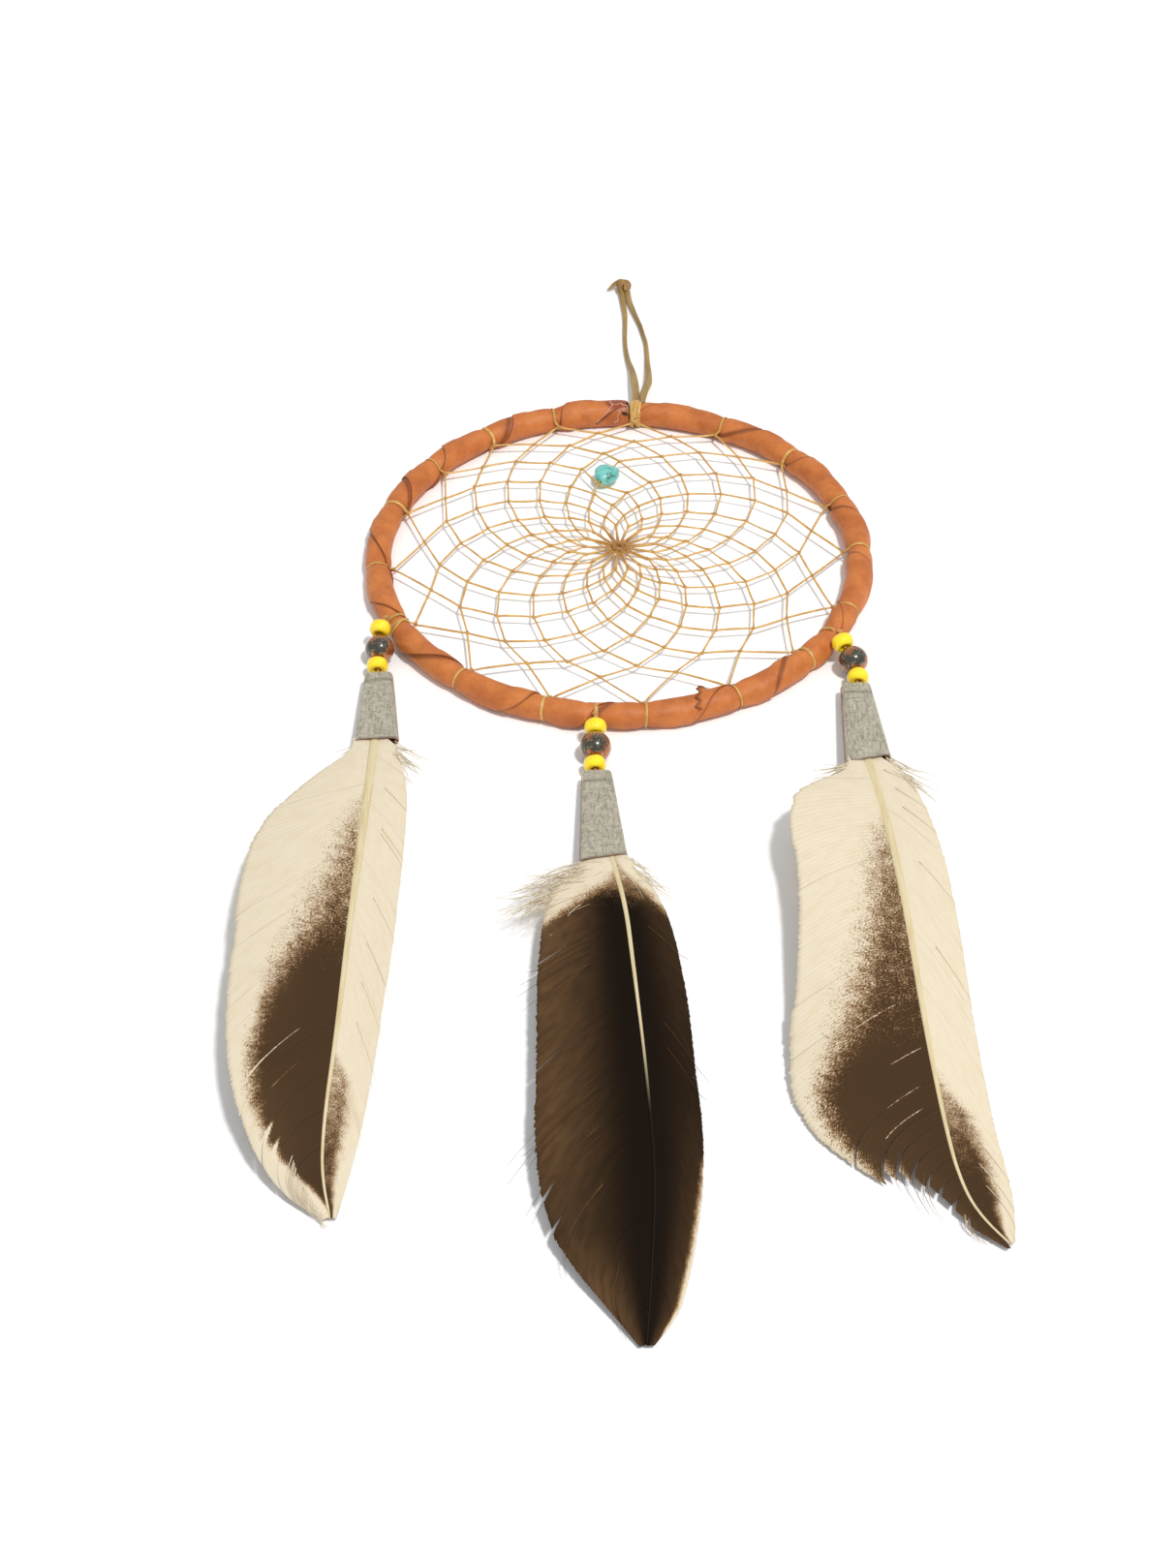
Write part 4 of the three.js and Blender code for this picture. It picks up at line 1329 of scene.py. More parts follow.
@dataclass
class SinewTurns:
    """The sinew wound round the hoop: a hitch for each rim knot, the lashing and the pendants' ties."""

    layout: HoopLayout
    wrap: LeatherWrap
    rim: float = 66.4
    half_width: float = 0.5  # of the flat strand, mm
    flatness: float = 0.32
    crossed_hitch: int = 6  # the one that a second strand crosses

    def round_tube(self, degrees: float, skew: float, lift: float, start: float = 0.0) -> np.ndarray:
        """A closed ring round the tube.

        Args:
            degrees: angle round the hoop.
            skew: how far it leans along the hoop, in degrees.
            lift: height over the leather, mm.
            start: where its lean starts, radians.

        Returns:
            (n, 3) points.
        """
        around = np.linspace(0, 2 * math.pi, 40, endpoint=False)
        angle = degrees + skew * np.cos(around - start)
        count = np.array([self.layout.count_at(a) for a in angle])
        radius = self.wrap.surface(np.clip(count, 0.02, 16.98), around) + lift * MM
        ring = self.layout.on_tube(angle, around, radius)
        ring[:, 2] = np.maximum(ring[:, 2], 0.25 * MM)
        return ring

    def hitch(self, number: int, finishes: Finishes) -> bpy.types.Object:
        """Builds one hitch: a flat strand out of the rim knot, round the leather and back.

        Args:
            number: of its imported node, from 1.
            finishes: the object's materials.

        Returns:
            The piece.
        """
        degrees = self.layout.turns[number]
        skew = 0.45 * (-1) ** number
        draft = Draft()
        around = np.linspace(math.pi * 0.88, -math.pi * 0.9, 34)
        share = np.linspace(-1, 1, len(around))
        angle = degrees + skew * share + 0.25 * math.sin(number * 2.3) * share**2
        count = np.array([self.layout.count_at(a) for a in angle])
        radius = self.wrap.surface(count, around % (2 * math.pi)) + 0.2 * MM
        over = self.layout.on_tube(angle, around, radius)
        over[:, 2] = np.maximum(over[:, 2], 0.25 * MM)
        knot = self.layout.on_tube(degrees, math.pi, (self.layout.radius / MM - self.rim) * MM)
        path = smooth_path(np.vstack([knot + UP * 0.15 * MM, over, knot - UP * 0.15 * MM]), 2)
        draft.tube(path, self.half_width * MM, 8, flatness=self.flatness, start=UP, dark=0.12)
        if number == self.crossed_hitch:
            crossed = self.round_tube(degrees - 0.6, 1.7, 0.26, 0.6)
            outward = crossed[0] - self.layout.centre
            draft.tube(crossed, 0.38 * MM, 8, closed=True, flatness=0.36, start=outward)
        ball = smooth_path(
            [knot + Vector((math.cos(a) * 0.42, math.sin(a * 2) * 0.3, math.sin(a) * 0.42)) * MM
             for a in np.linspace(0, 2 * math.pi, 9, endpoint=False)], 3, closed=True)
        draft.tube(ball, 0.26 * MM, 6, closed=True, dark=0.45)
        piece = draft.build(f"sinew_hitch_{number}", [finishes.sinew])
        return install(piece, "hoop", Slot.SINEW, f"web_hitch_{number}")

    def lashing(self, finishes: Finishes) -> bpy.types.Object:
        """Builds the lashing that holds the hanging loop.

        Args:
            finishes: the object's materials.

        Returns:
            The piece.
        """
        draft = Draft()
        degrees = self.layout.turns[0]
        plan = [(-0.75, 0.15, 0.35, 0.3), (0.1, -0.12, 0.45, 2.2), (0.85, 0.18, 0.4, 1.0),
                (-0.3, 0.75, 0.75, 1.7), (0.45, -0.6, 0.85, 0.9)]
        for offset, skew, lift, start in plan:
            ring = self.round_tube(degrees + offset, skew, lift, start)
            outward = ring[0] - self.layout.centre
            draft.tube(ring, 0.78 * MM, 10, closed=True, flatness=0.3, start=outward,
                       dark=0.06 + 0.06 * math.sin(5 * offset))
        inner = self.layout.on_tube(degrees, math.pi * 0.93, 4.6 * MM)
        for lean in (0.0, 1.0, 2.0):
            across = np.linspace(0, 2 * math.pi, 16, endpoint=False)
            loop = inner + np.stack(
                [1.25 * np.cos(across), 0.7 * np.sin(across + lean),
                 0.8 * np.sin(across) * math.cos(lean)], -1
            ) * MM
            draft.tube(loop, 0.36 * MM, 6, closed=True, dark=0.3)
        piece = draft.build("loop_lashing_sinew", [finishes.sinew])
        return install(piece, "hoop", Slot.SINEW, "loop_lashing")

    def tie(self, pendant: Pendant, finishes: Finishes) -> None:
        """Builds a pendant's tie round the hoop, and the knot that closes it.

        Args:
            pendant: whose tie it is.
            finishes: the object's materials.
        """
        degrees = self.layout.ties[pendant]
        draft = Draft()
        for offset, skew, start in ((-0.3, 0.2, 0.4), (0.32, -0.3, 1.9)):
            ring = self.round_tube(degrees + offset, skew, 0.2, start)
            outward = ring[0] - self.layout.centre
            draft.tube(ring, 0.42 * MM, 8, closed=True, flatness=0.4, start=outward, dark=0.3)
        piece = draft.build(f"{pendant.value}_tie_thread", [finishes.sinew])
        install(piece, "hoop", Slot.SINEW, f"{pendant.value}_tie")

        spot = middle_of(f"{pendant.value}_tie_knot")
        knot = Draft()
        for lean in (0.3, 1.6, 2.6):
            across = np.linspace(0, 2 * math.pi, 18, endpoint=False)
            loop = spot + np.stack(
                [0.55 * np.cos(across) * math.cos(lean), 0.5 * np.sin(across),
                 0.5 * np.cos(across + lean) * math.sin(lean)], -1
            ) * MM
            knot.tube(loop, 0.26 * MM, 6, closed=True, dark=0.2)
        tied = knot.build(f"{pendant.value}_tie_knot_thread", [finishes.sinew])
        install(tied, f"{pendant.value}_tie_swivel", Slot.SINEW, f"{pendant.value}_tie_knot")


@dataclass
class Chip:
    """The drilled turquoise chip strung on the web."""

    outline: tuple = ((4.1, -144), (4.2, -112), (3.5, -80), (3.2, -54), (3.5, -20), (4.0, 6), (3.8, 37),
                      (2.3, 58), (3.3, 80), (4.0, 112), (3.9, 147), (3.7, 180))  # mm, degrees
    height: float = 2.2  # half its thickness, mm
    bore: float = 0.62
    rows: int = 18
    columns: int = 48

    def make(self, finishes: Finishes) -> bpy.types.Object:
        """Builds the tumbled stone and drills it.

        Args:
            finishes: the object's materials.

        Returns:
            The piece.
        """
        joint = joint_named("chip_spin")
        spin = math.atan2(joint["axis"][1], joint["axis"][0])
        turn = np.linspace(-180, 180, self.columns, endpoint=False)
        reach, stops = zip(*self.outline)
        radius = np.interp(turn, stops, reach, period=360)
        window = np.array([0.5, 1, 2, 1, 0.5]) / 5
        radius = np.convolve(np.concatenate([radius[-2:], radius, radius[:2]]), window, "valid")
        rows = []
        for tilt in np.linspace(-math.pi / 2 + 0.08, math.pi / 2 - 0.08, self.rows):
            share = math.cos(tilt) ** 0.55
            x = radius * share * np.cos(np.radians(turn))
            y = radius * share * np.sin(np.radians(turn))
            z = np.full_like(x, self.height * math.copysign(abs(math.sin(tilt)) ** 0.8, tilt))
            rows.append(np.stack([x, y, z + 0.1 * x * math.cos(tilt) * 0.3], -1))
        rings = np.array(rows)
        flat = rings.reshape(-1, 3)
        swell = 1 + 0.07 * noise_at(flat, 2.6, 4.0) + 0.025 * noise_at(flat, 0.9, 5.0)
        rings = (flat * swell[:, None]).reshape(rings.shape) * MM
        draft = Draft()
        draft.rings(rings)
        chip = draft.build("turquoise_stone", [finishes.turquoise])
        drill = Draft()
        bore = np.array([math.cos(spin), math.sin(spin), 0.0]) * 9 * MM
        drill.tube(np.array([-bore, bore * 0, bore]), self.bore * MM, 20)
        tool = drill.build("drill", [finishes.turquoise])
        cut = chip.modifiers.new("bore", "BOOLEAN")
        cut.object = tool
        cut.operation = "DIFFERENCE"
        cut.solver = "EXACT"
        bpy.context.view_layer.update()
        drilled = bpy.data.meshes.new_from_object(chip.evaluated_get(bpy.context.evaluated_depsgraph_get()))
        chip.modifiers.clear()
        chip.data = drilled
        bpy.data.objects.remove(tool)
        chip.data.polygons.foreach_set("use_smooth", [True] * len(chip.data.polygons))
        chip.data.set_sharp_from_angle(angle=math.radians(50))
        chip.matrix_world = Matrix.Translation(joint["pos_m"])
        return install(chip, "chip", Slot.TURQUOISE, "turquoise_chip")


# ---- Hanging loop ----------------------------------------------------------------------------------


@dataclass
class HangingLoop:
    """One flat sinew lace: two legs from the lashing to the knot at the tip."""

    layout: HoopLayout
    width: float = 1.9  # mm
    flatness: float = 0.5
    swell: tuple = ((0, 1.0), (0.08, 1.25), (0.22, 1.3), (0.38, 0.85), (0.5, 0.72), (0.68, 0.78),
                    (0.85, 0.95), (1, 1.1))  # (share of a leg's length, its width as a share)
    left: tuple = (
        (7.2, 75.8, 4.3), (7.3, 79.2, 4.2), (7.3, 84, 3.9), (7, 90.7, 3), (6.5, 97.8, 1.9), (5.5, 104.3, 1.2),
        (4.9, 110.2, 1), (4.7, 115.8, 1), (4.8, 121.5, 1), (5, 127.2, 1), (5, 132.9, 1.05),
        (4.7, 137.9, 1.1), (4.4, 143, 1.35), (4.2, 146, 1.5),
    )  # mm from the hoop's centre, Z from the ground
    right: tuple = (
        (9.3, 75.8, 4.3), (9.6, 79.2, 4.2), (10.4, 83.4, 3.7), (11.6, 89, 2.8), (11.9, 96.2, 1.8),
        (11.8, 102.6, 1.2), (11.8, 108.4, 1), (11.6, 114.8, 1), (10.8, 120.5, 1), (10, 125.4, 1),
        (8.9, 130.3, 1.05), (7.9, 134.8, 1.1), (6.9, 139.5, 1.25), (6.4, 143.2, 1.4), (6.2, 146, 1.5),
    )

    def route(self, points: tuple) -> np.ndarray:
        """A leg's centre line in metres, close-set."""
        placed = np.array(points, float) * MM
        placed[:, :2] += self.layout.centre[:2]
        return smooth_path(placed, 8)

    def make(self, finishes: Finishes) -> None:
        """Builds the legs and the knot.

        Args:
            finishes: the object's materials.
        """
        knot = self._knot(finishes)
        for name, points in (("left", self.left), ("right", self.right)):
            path = self.route(points)
            draft = Draft()
            share = np.linspace(0, 1, len(path))
            half = self.width / 2 * MM * np.interp(share, *zip(*self.swell))
            draft.tube(path, half, 14, flatness=self.flatness, start=UP)
            leg = draft.build(f"loop_lace_{name}", [finishes.lace])
            self._furrow(leg)
            install(leg, "hanging_loop", Slot.SINEW, f"loop_leg_{name}")

    @staticmethod
    def _furrow(leg: bpy.types.Object) -> None:
        """Presses fine lengthwise furrows into a leg."""
        mesh = leg.data
        points = np.empty(len(mesh.vertices) * 3)
        mesh.vertices.foreach_get("co", points)
        points = points.reshape(-1, 3)
        stretched = points * np.array([1, 0.12, 1])
        depth = noise_at(stretched, 0.5 * MM, 6.0) * 0.09 * MM
        points[:, 2] += depth * (points[:, 2] > 1.0 * MM)
        mesh.vertices.foreach_set("co", points.ravel())

    def _knot(self, finishes: Finishes) -> bpy.types.Object:
        """Builds the overhand knot with its short tail."""
        low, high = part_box("loop_knot")
        spot = np.array((low + high) / 2)
        draft = Draft()
        wound = [(-1.0, -3.4, -0.5), (-1.2, -1.2, 0.3), (0.6, 0.9, 0.8), (2.0, 1.2, -0.2), (1.4, -0.9, -0.8),
                 (-0.9, -1.0, -0.4), (-1.8, 0.4, 0.7), (-0.4, 2.0, 0.5), (1.2, 1.4, -0.5), (0.9, -1.3, 0.8),
                 (0.9, -3.4, -0.4)]
        path = smooth_path(spot + np.array(wound) * MM, 7)
        draft.tube(path, 0.95 * MM, 12, flatness=0.6, start=UP, dark=0.25)
        tail = [(0.4, 1.2, 0.6), (-1.2, 1.3, 0.7), (-3.0, 0.4, 0.2), (-4.6, -0.7, -0.7), (-5.6, -1.1, -1.1)]
        path = smooth_path(spot + np.array(tail) * MM, 7)
        width = np.interp(np.linspace(0, 1, len(path)), [0, 0.55, 1], [1.1, 0.95, 0.25]) * MM
        draft.tube(path, width, 12, flatness=0.5, start=UP, dark=0.12)
        piece = draft.build("loop_lace_knot", [finishes.lace])
        return install(piece, "hanging_loop", Slot.SINEW, "loop_knot")


# ---- Beads and threads -----------------------------------------------------------------------------


@dataclass
class Bead:
    """A bead turned about its bore, placed by the joint that it spins on."""

    name: str
    joint: str
    body: str
    node: str
    slot: Slot
    profile: tuple  # mm from its axis and along it, round the outside and back through the bore
    uneven: float = 0.02
    segments: int = 56

    def make(self, finish: bpy.types.Material) -> bpy.types.Object:
        """Builds the bead.

        Args:
            finish: its material.

        Returns:
            The piece.
        """
        joint = joint_named(self.joint)
        along = Vector(joint["axis"]).normalized()
        outline = smooth_path([(x, 0, y) for x, y in self.profile], 4, closed=True)
        turn = np.linspace(0, 2 * math.pi, self.segments, endpoint=False)
        rings = np.stack(
            [outline[None, :, 0] * np.cos(turn)[:, None], outline[None, :, 0] * np.sin(turn)[:, None],
             np.broadcast_to(outline[None, :, 2], (len(turn), len(outline)))], -1
        )
        flat = rings.reshape(-1, 3)
        swell = 1 + self.uneven * noise_at(flat, 2.5, len(self.name) + along.x)
        draft = Draft()
        draft.rings((flat * swell[:, None]).reshape(rings.shape) * MM, endless=True)
        piece = draft.build(self.name, [finish])
        turned = along.to_track_quat("Z", "Y").to_matrix().to_4x4()
        piece.matrix_world = Matrix.Translation(joint["pos_m"]) @ turned
        return install(piece, self.body, self.slot, self.node)


def pony_profile(radius: float = 3.0, length: float = 3.9, bore: float = 1.05) -> tuple:
    """Outline of a small bead with rounded ends."""
    end = length / 2
    return (
        (bore, 0.0), (bore, -end * 0.6), (bore + 0.12, -end * 0.9), (bore + 0.55, -end),
        (radius * 0.72, -end * 0.93), (radius * 0.93, -end * 0.62), (radius, -end * 0.2),
        (radius, end * 0.2), (radius * 0.93, end * 0.62),
        (radius * 0.72, end * 0.93), (bore + 0.55, end), (bore + 0.12, end * 0.9), (bore, end * 0.6),
    )


def round_profile(radius: float = 4.0, bore: float = 0.95) -> tuple:
    """Outline of a round bead with a drilled bore."""
    mouth = math.asin((bore + 0.2) / radius)
    arc = np.linspace(mouth, math.pi - mouth, 13)
    outside = [(radius * math.sin(a), -radius * math.cos(a)) for a in arc]
    inside = [(bore, radius * 0.86), (bore, radius * 0.4), (bore, -radius * 0.4), (bore, -radius * 0.86)]
    return tuple(outside + inside)


@dataclass
class BeadString:
    """A pendant's thread with its three beads."""

    pendant: Pendant
    dark_radius: float = 4.1  # mm

    def make(self, finishes: Finishes) -> None:
        """Builds the thread and the beads.

        Args:
            finishes: the object's materials.
        """
        name = self.pendant.value
        for place in ("upper", "middle", "lower"):
            is_round = place == "middle"
            bead = Bead(
                f"{name}_{place}_bead_glass", f"{name}_{place}_bead_spin", f"{name}_{place}_bead",
                f"{name}_bead_{place}", Slot.DARK if is_round else Slot.YELLOW,
                round_profile(self.dark_radius) if is_round else pony_profile(), 0.012 if is_round else 0.05,
            )
            bead.make(finishes.dark if is_round else finishes.yellow)
        self._thread(finishes)

    def _thread(self, finishes: Finishes) -> bpy.types.Object:
        """Builds the twisted thread, from the tie knot to the stop knot inside the sleeve."""
        name = self.pendant.value
        beads = [np.array(joint_named(f"{name}_{place}_bead_spin")["pos_m"])
                 for place in ("upper", "middle", "lower")]
        twist = joint_named(f"{name}_twist")
        top, inward = np.array(twist["pos_m"]), unit(np.array(twist["axis"]))
        route = [middle_of(f"{name}_tie_knot"), *beads, top, top + inward * 2.4 * MM]
        line = smooth_path(route, 14)
        across, other = turning_frames(line, False, UP)
        draft = Draft()
        turn = np.linspace(0, 34 * math.pi, len(line))[:, None]
        for start in (0.0, math.pi):
            offset = 0.15 * MM * (np.cos(turn + start) * across + np.sin(turn + start) * other)
            draft.tube(line + offset, 0.24 * MM, 6, dark=0.15)
        stop = top + inward * 3.4 * MM
        for lean in (0.0, 1.1, 2.2):
            loop = np.linspace(0, 2 * math.pi, 14, endpoint=False)
            ring = stop + np.stack(
                [0.5 * np.cos(loop), 0.45 * np.sin(loop + lean), 0.45 * np.sin(loop) * math.cos(lean)], -1
            ) * MM
            draft.tube(ring, 0.3 * MM, 6, closed=True, dark=0.2)
        piece = draft.build(f"{name}_thread_twist", [finishes.sinew])
        return install(piece, f"{name}_string", Slot.SINEW, f"{name}_thread")


# ---- Sleeve ----------------------------------------------------------------------------------------


@dataclass
class Sleeve:
    """A strip of foil-faced leather folded flat round the thread and the quill, with a raw lapped edge."""

    pendant: Pendant
    cut_side: Side
    wall: float = 0.4  # mm
    pressed: float = 0.66  # the mouth's height after it was pressed on the feather, as a share
    crease_at: float = 0.12  # the pressed line near its top, as a share of its length
    rows: int = 40
    columns: int = 72

    def make(self, finishes: Finishes) -> bpy.types.Object:
        """Builds the folded sleeve.

        Args:
            finishes: the object's materials.

        Returns:
            The piece.
        """
        name = self.pendant.value
        twist = joint_named(f"{name}_twist")
        top, along = np.array(twist["pos_m"]), unit(np.array(twist["axis"]))
        across = unit(np.array([1.0, 0, 0]) - along * along[0])
        up = np.cross(across, along)
        up = up if up[2] > 0 else -up
        local = (cad_vertices(f"{name}_sleeve") - top) @ np.stack([across, along, up], -1)
        length = float(np.median(np.sort(local[:, 1])[-8:]))
        upper, lower = local[local[:, 1] < 0.3 * length], local[local[:, 1] > 0.7 * length]
        widths = np.ptp(upper[:, 0]), np.ptp(lower[:, 0])
        heights = np.ptp(upper[:, 2]), np.ptp(lower[:, 2]) * self.pressed
        ends = [lower[side * lower[:, 0] > 0.4 * widths[1]][:, 1].max() for side in (-1, 1)]

        turn = np.linspace(0, 2 * math.pi, self.columns, endpoint=False)
        seam = 0.0 if self.cut_side is Side.RIGHT else math.pi
        past_seam = ((turn - seam) % (2 * math.pi)) / (2 * math.pi)
        lap = 0.32 * MM * np.exp(-past_seam * 26)

        def ring(share: float, shrink: float, mouth: float) -> np.ndarray:
            """One ring round the sleeve: share down its length, shrunk by shrink, slanted by mouth."""
            half_width = (widths[0] + (widths[1] - widths[0]) * share) / 2 - shrink
            half_height = (heights[0] + (heights[1] - heights[0]) * share) / 2 - shrink
            box_x = np.sign(np.cos(turn)) * np.abs(np.cos(turn)) ** 0.42
            box_z = np.sign(np.sin(turn)) * np.abs(np.sin(turn)) ** 0.5
            x = box_x * half_width + lap * np.cos(turn)
            z = box_z * half_height + lap * np.sin(turn)
            slant = (ends[0] * (widths[1] / 2 - x) + ends[1] * (widths[1] / 2 + x)) / widths[1]
            end = length + (slant - length) * mouth
            spots = np.stack([x, np.full_like(x, share) * end, z], -1)
            dent = 0.05 * noise_at(spots, 4.0 * MM, 3.0 + len(name)) * MM * (1 if shrink == 0 else 0)
            spots[:, 2] += dent * 3
            return spots

        # creases keeps each ring's painted shade
        rings, creases, cuts, glazes = [], [], [], []
        raw = np.exp(-((np.minimum(past_seam, 1 - past_seam) * 2 * math.pi / 0.1) ** 2))

        def keep(spots: np.ndarray, crease: float, cut: np.ndarray | float, glaze: float = 0.0) -> None:
            """Keeps one ring and its vertex values."""
            glazes.append(np.full(self.columns, glaze))
            rings.append(top + spots @ np.stack([across, along, up]))
            creases.append(np.full(self.columns, crease))
            cuts.append(np.broadcast_to(cut, (self.columns,)))

        hole = ring(0.0, 0.0, 0.0)
        # the drawn-in top is painted darker, as shade in its hollow
        for shrink, lift in ((0.12, 1.0), (0.45, 0.25), (0.8, 0.0)):
            drawn = hole * np.array([shrink, 1, shrink])
            drawn[:, 1] += lift * 0.5 * MM
            keep(drawn, 0.5, 0.3)
        for share in np.linspace(0.0, 1.0, self.rows):
            spots = ring(float(share), 0.0, float(share))
            groove = math.exp(-(((share - self.crease_at) / 0.012) ** 2))
            spots[:, 2] -= np.sign(spots[:, 2]) * 0.2 * MM * groove
            front = (spots[:, 2] > 0).astype(float)
            if share == 0.0:
                spots *= np.array([0.97, 1, 0.9])
            # painted shade in the pressed line and, at the mouth, along its rim
            rim = 0.8 if share > 0.985 else 0.0
            glaze = float(smoothstep(self.crease_at, self.crease_at - 0.02, share))
            keep(spots, max(groove * 0.85, rim * 0.6), raw * 0.95 * front + raw * 0.5 * (1 - front), glaze)
        for share in np.linspace(1.0, 0.06, 14):
            keep(ring(float(share), self.wall * MM, float(share)), 0.0, 1.0)
        closing = ring(0.06, self.wall * MM, 0.0) * np.array([0.12, 1, 0.12])
        keep(closing, 0.0, 1.0)
        draft = Draft()
        draft.rings(
            np.array(rings), endless=True, crease=np.array(creases), cut=np.array(cuts),
            glaze=np.array(glazes),
        )
        piece = draft.build(f"{name}_sleeve_foil", [finishes.foil])
        piece.data.set_sharp_from_angle(angle=math.radians(60))
        return install(piece, f"{name}_drop", Slot.FOIL, f"{name}_sleeve")


# ---- Feathers --------------------------------------------------------------------------------------


def ends_at(node: str, levels: np.ndarray) -> tuple[np.ndarray, np.ndarray]:
    """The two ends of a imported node's cross sections.

    Args:
        node: its name.
        levels: the places along Y that it is cut at.

    Returns:
        Two (n, 3) arrays, the ends with the smallest and with the largest X.
    """
    points = cad_vertices(node)
    mesh = frame["nodes"][node].data
    pairs = np.empty(len(mesh.edges) * 2, np.int32)
    mesh.edges.foreach_get("vertices", pairs)
    a, b = points[pairs[0::2]], points[pairs[1::2]]
    first, last = [], []
    for level in levels:
        crossing = (a[:, 1] - level) * (b[:, 1] - level) < 0
        share = (level - a[crossing, 1]) / (b[crossing, 1] - a[crossing, 1])
        cut = a[crossing] + share[:, None] * (b[crossing] - a[crossing])
        cut = cut[np.argsort(cut[:, 0])]
        first.append(cut[:2].mean(0))
        last.append(cut[-2:].mean(0))
    return np.array(first), np.array(last)


def evened(values: np.ndarray, reach: int = 5) -> np.ndarray:
    """A row of points, each averaged with its neighbours."""
    padded = np.pad(values, ((reach, reach), (0, 0)), "reflect", reflect_type="odd")
    window = np.ones(2 * reach + 1) / (2 * reach + 1)
    return np.stack([np.convolve(padded[:, i], window, "valid") for i in range(values.shape[1])], -1)


@dataclass(frozen=True)
class Marks:
    """Where a vane is dark. Places along it are in mm from the hoop's centre."""

    brown: tuple  # (place, how far out the dark reaches as a share of the width)
    streaks: tuple = ()  # (root of the barbs, half breadth, from and to, how pale) bare along the barbs
    washed: tuple = ((-300, 0.0), (0, 0.0))  # (place, how pale the dark's outer part is)
    solid: tuple = ((-300, 1.0), (0, 1.0))  # (place, how solid the dark is at most)


@dataclass(frozen=True)
class Down:
    """Loose soft barbs about a feather's foot."""

    count: int
    length: tuple[float, float]  # mm
    spread: tuple[float, float]  # degrees from the quill's direction
    roots: tuple[float, float]  # mm along the quill from the sleeve's mouth
    out: tuple[float, float] = (0.05, 0.5)  # share of the vane's width that it starts at
    radius: float = 0.09  # mm


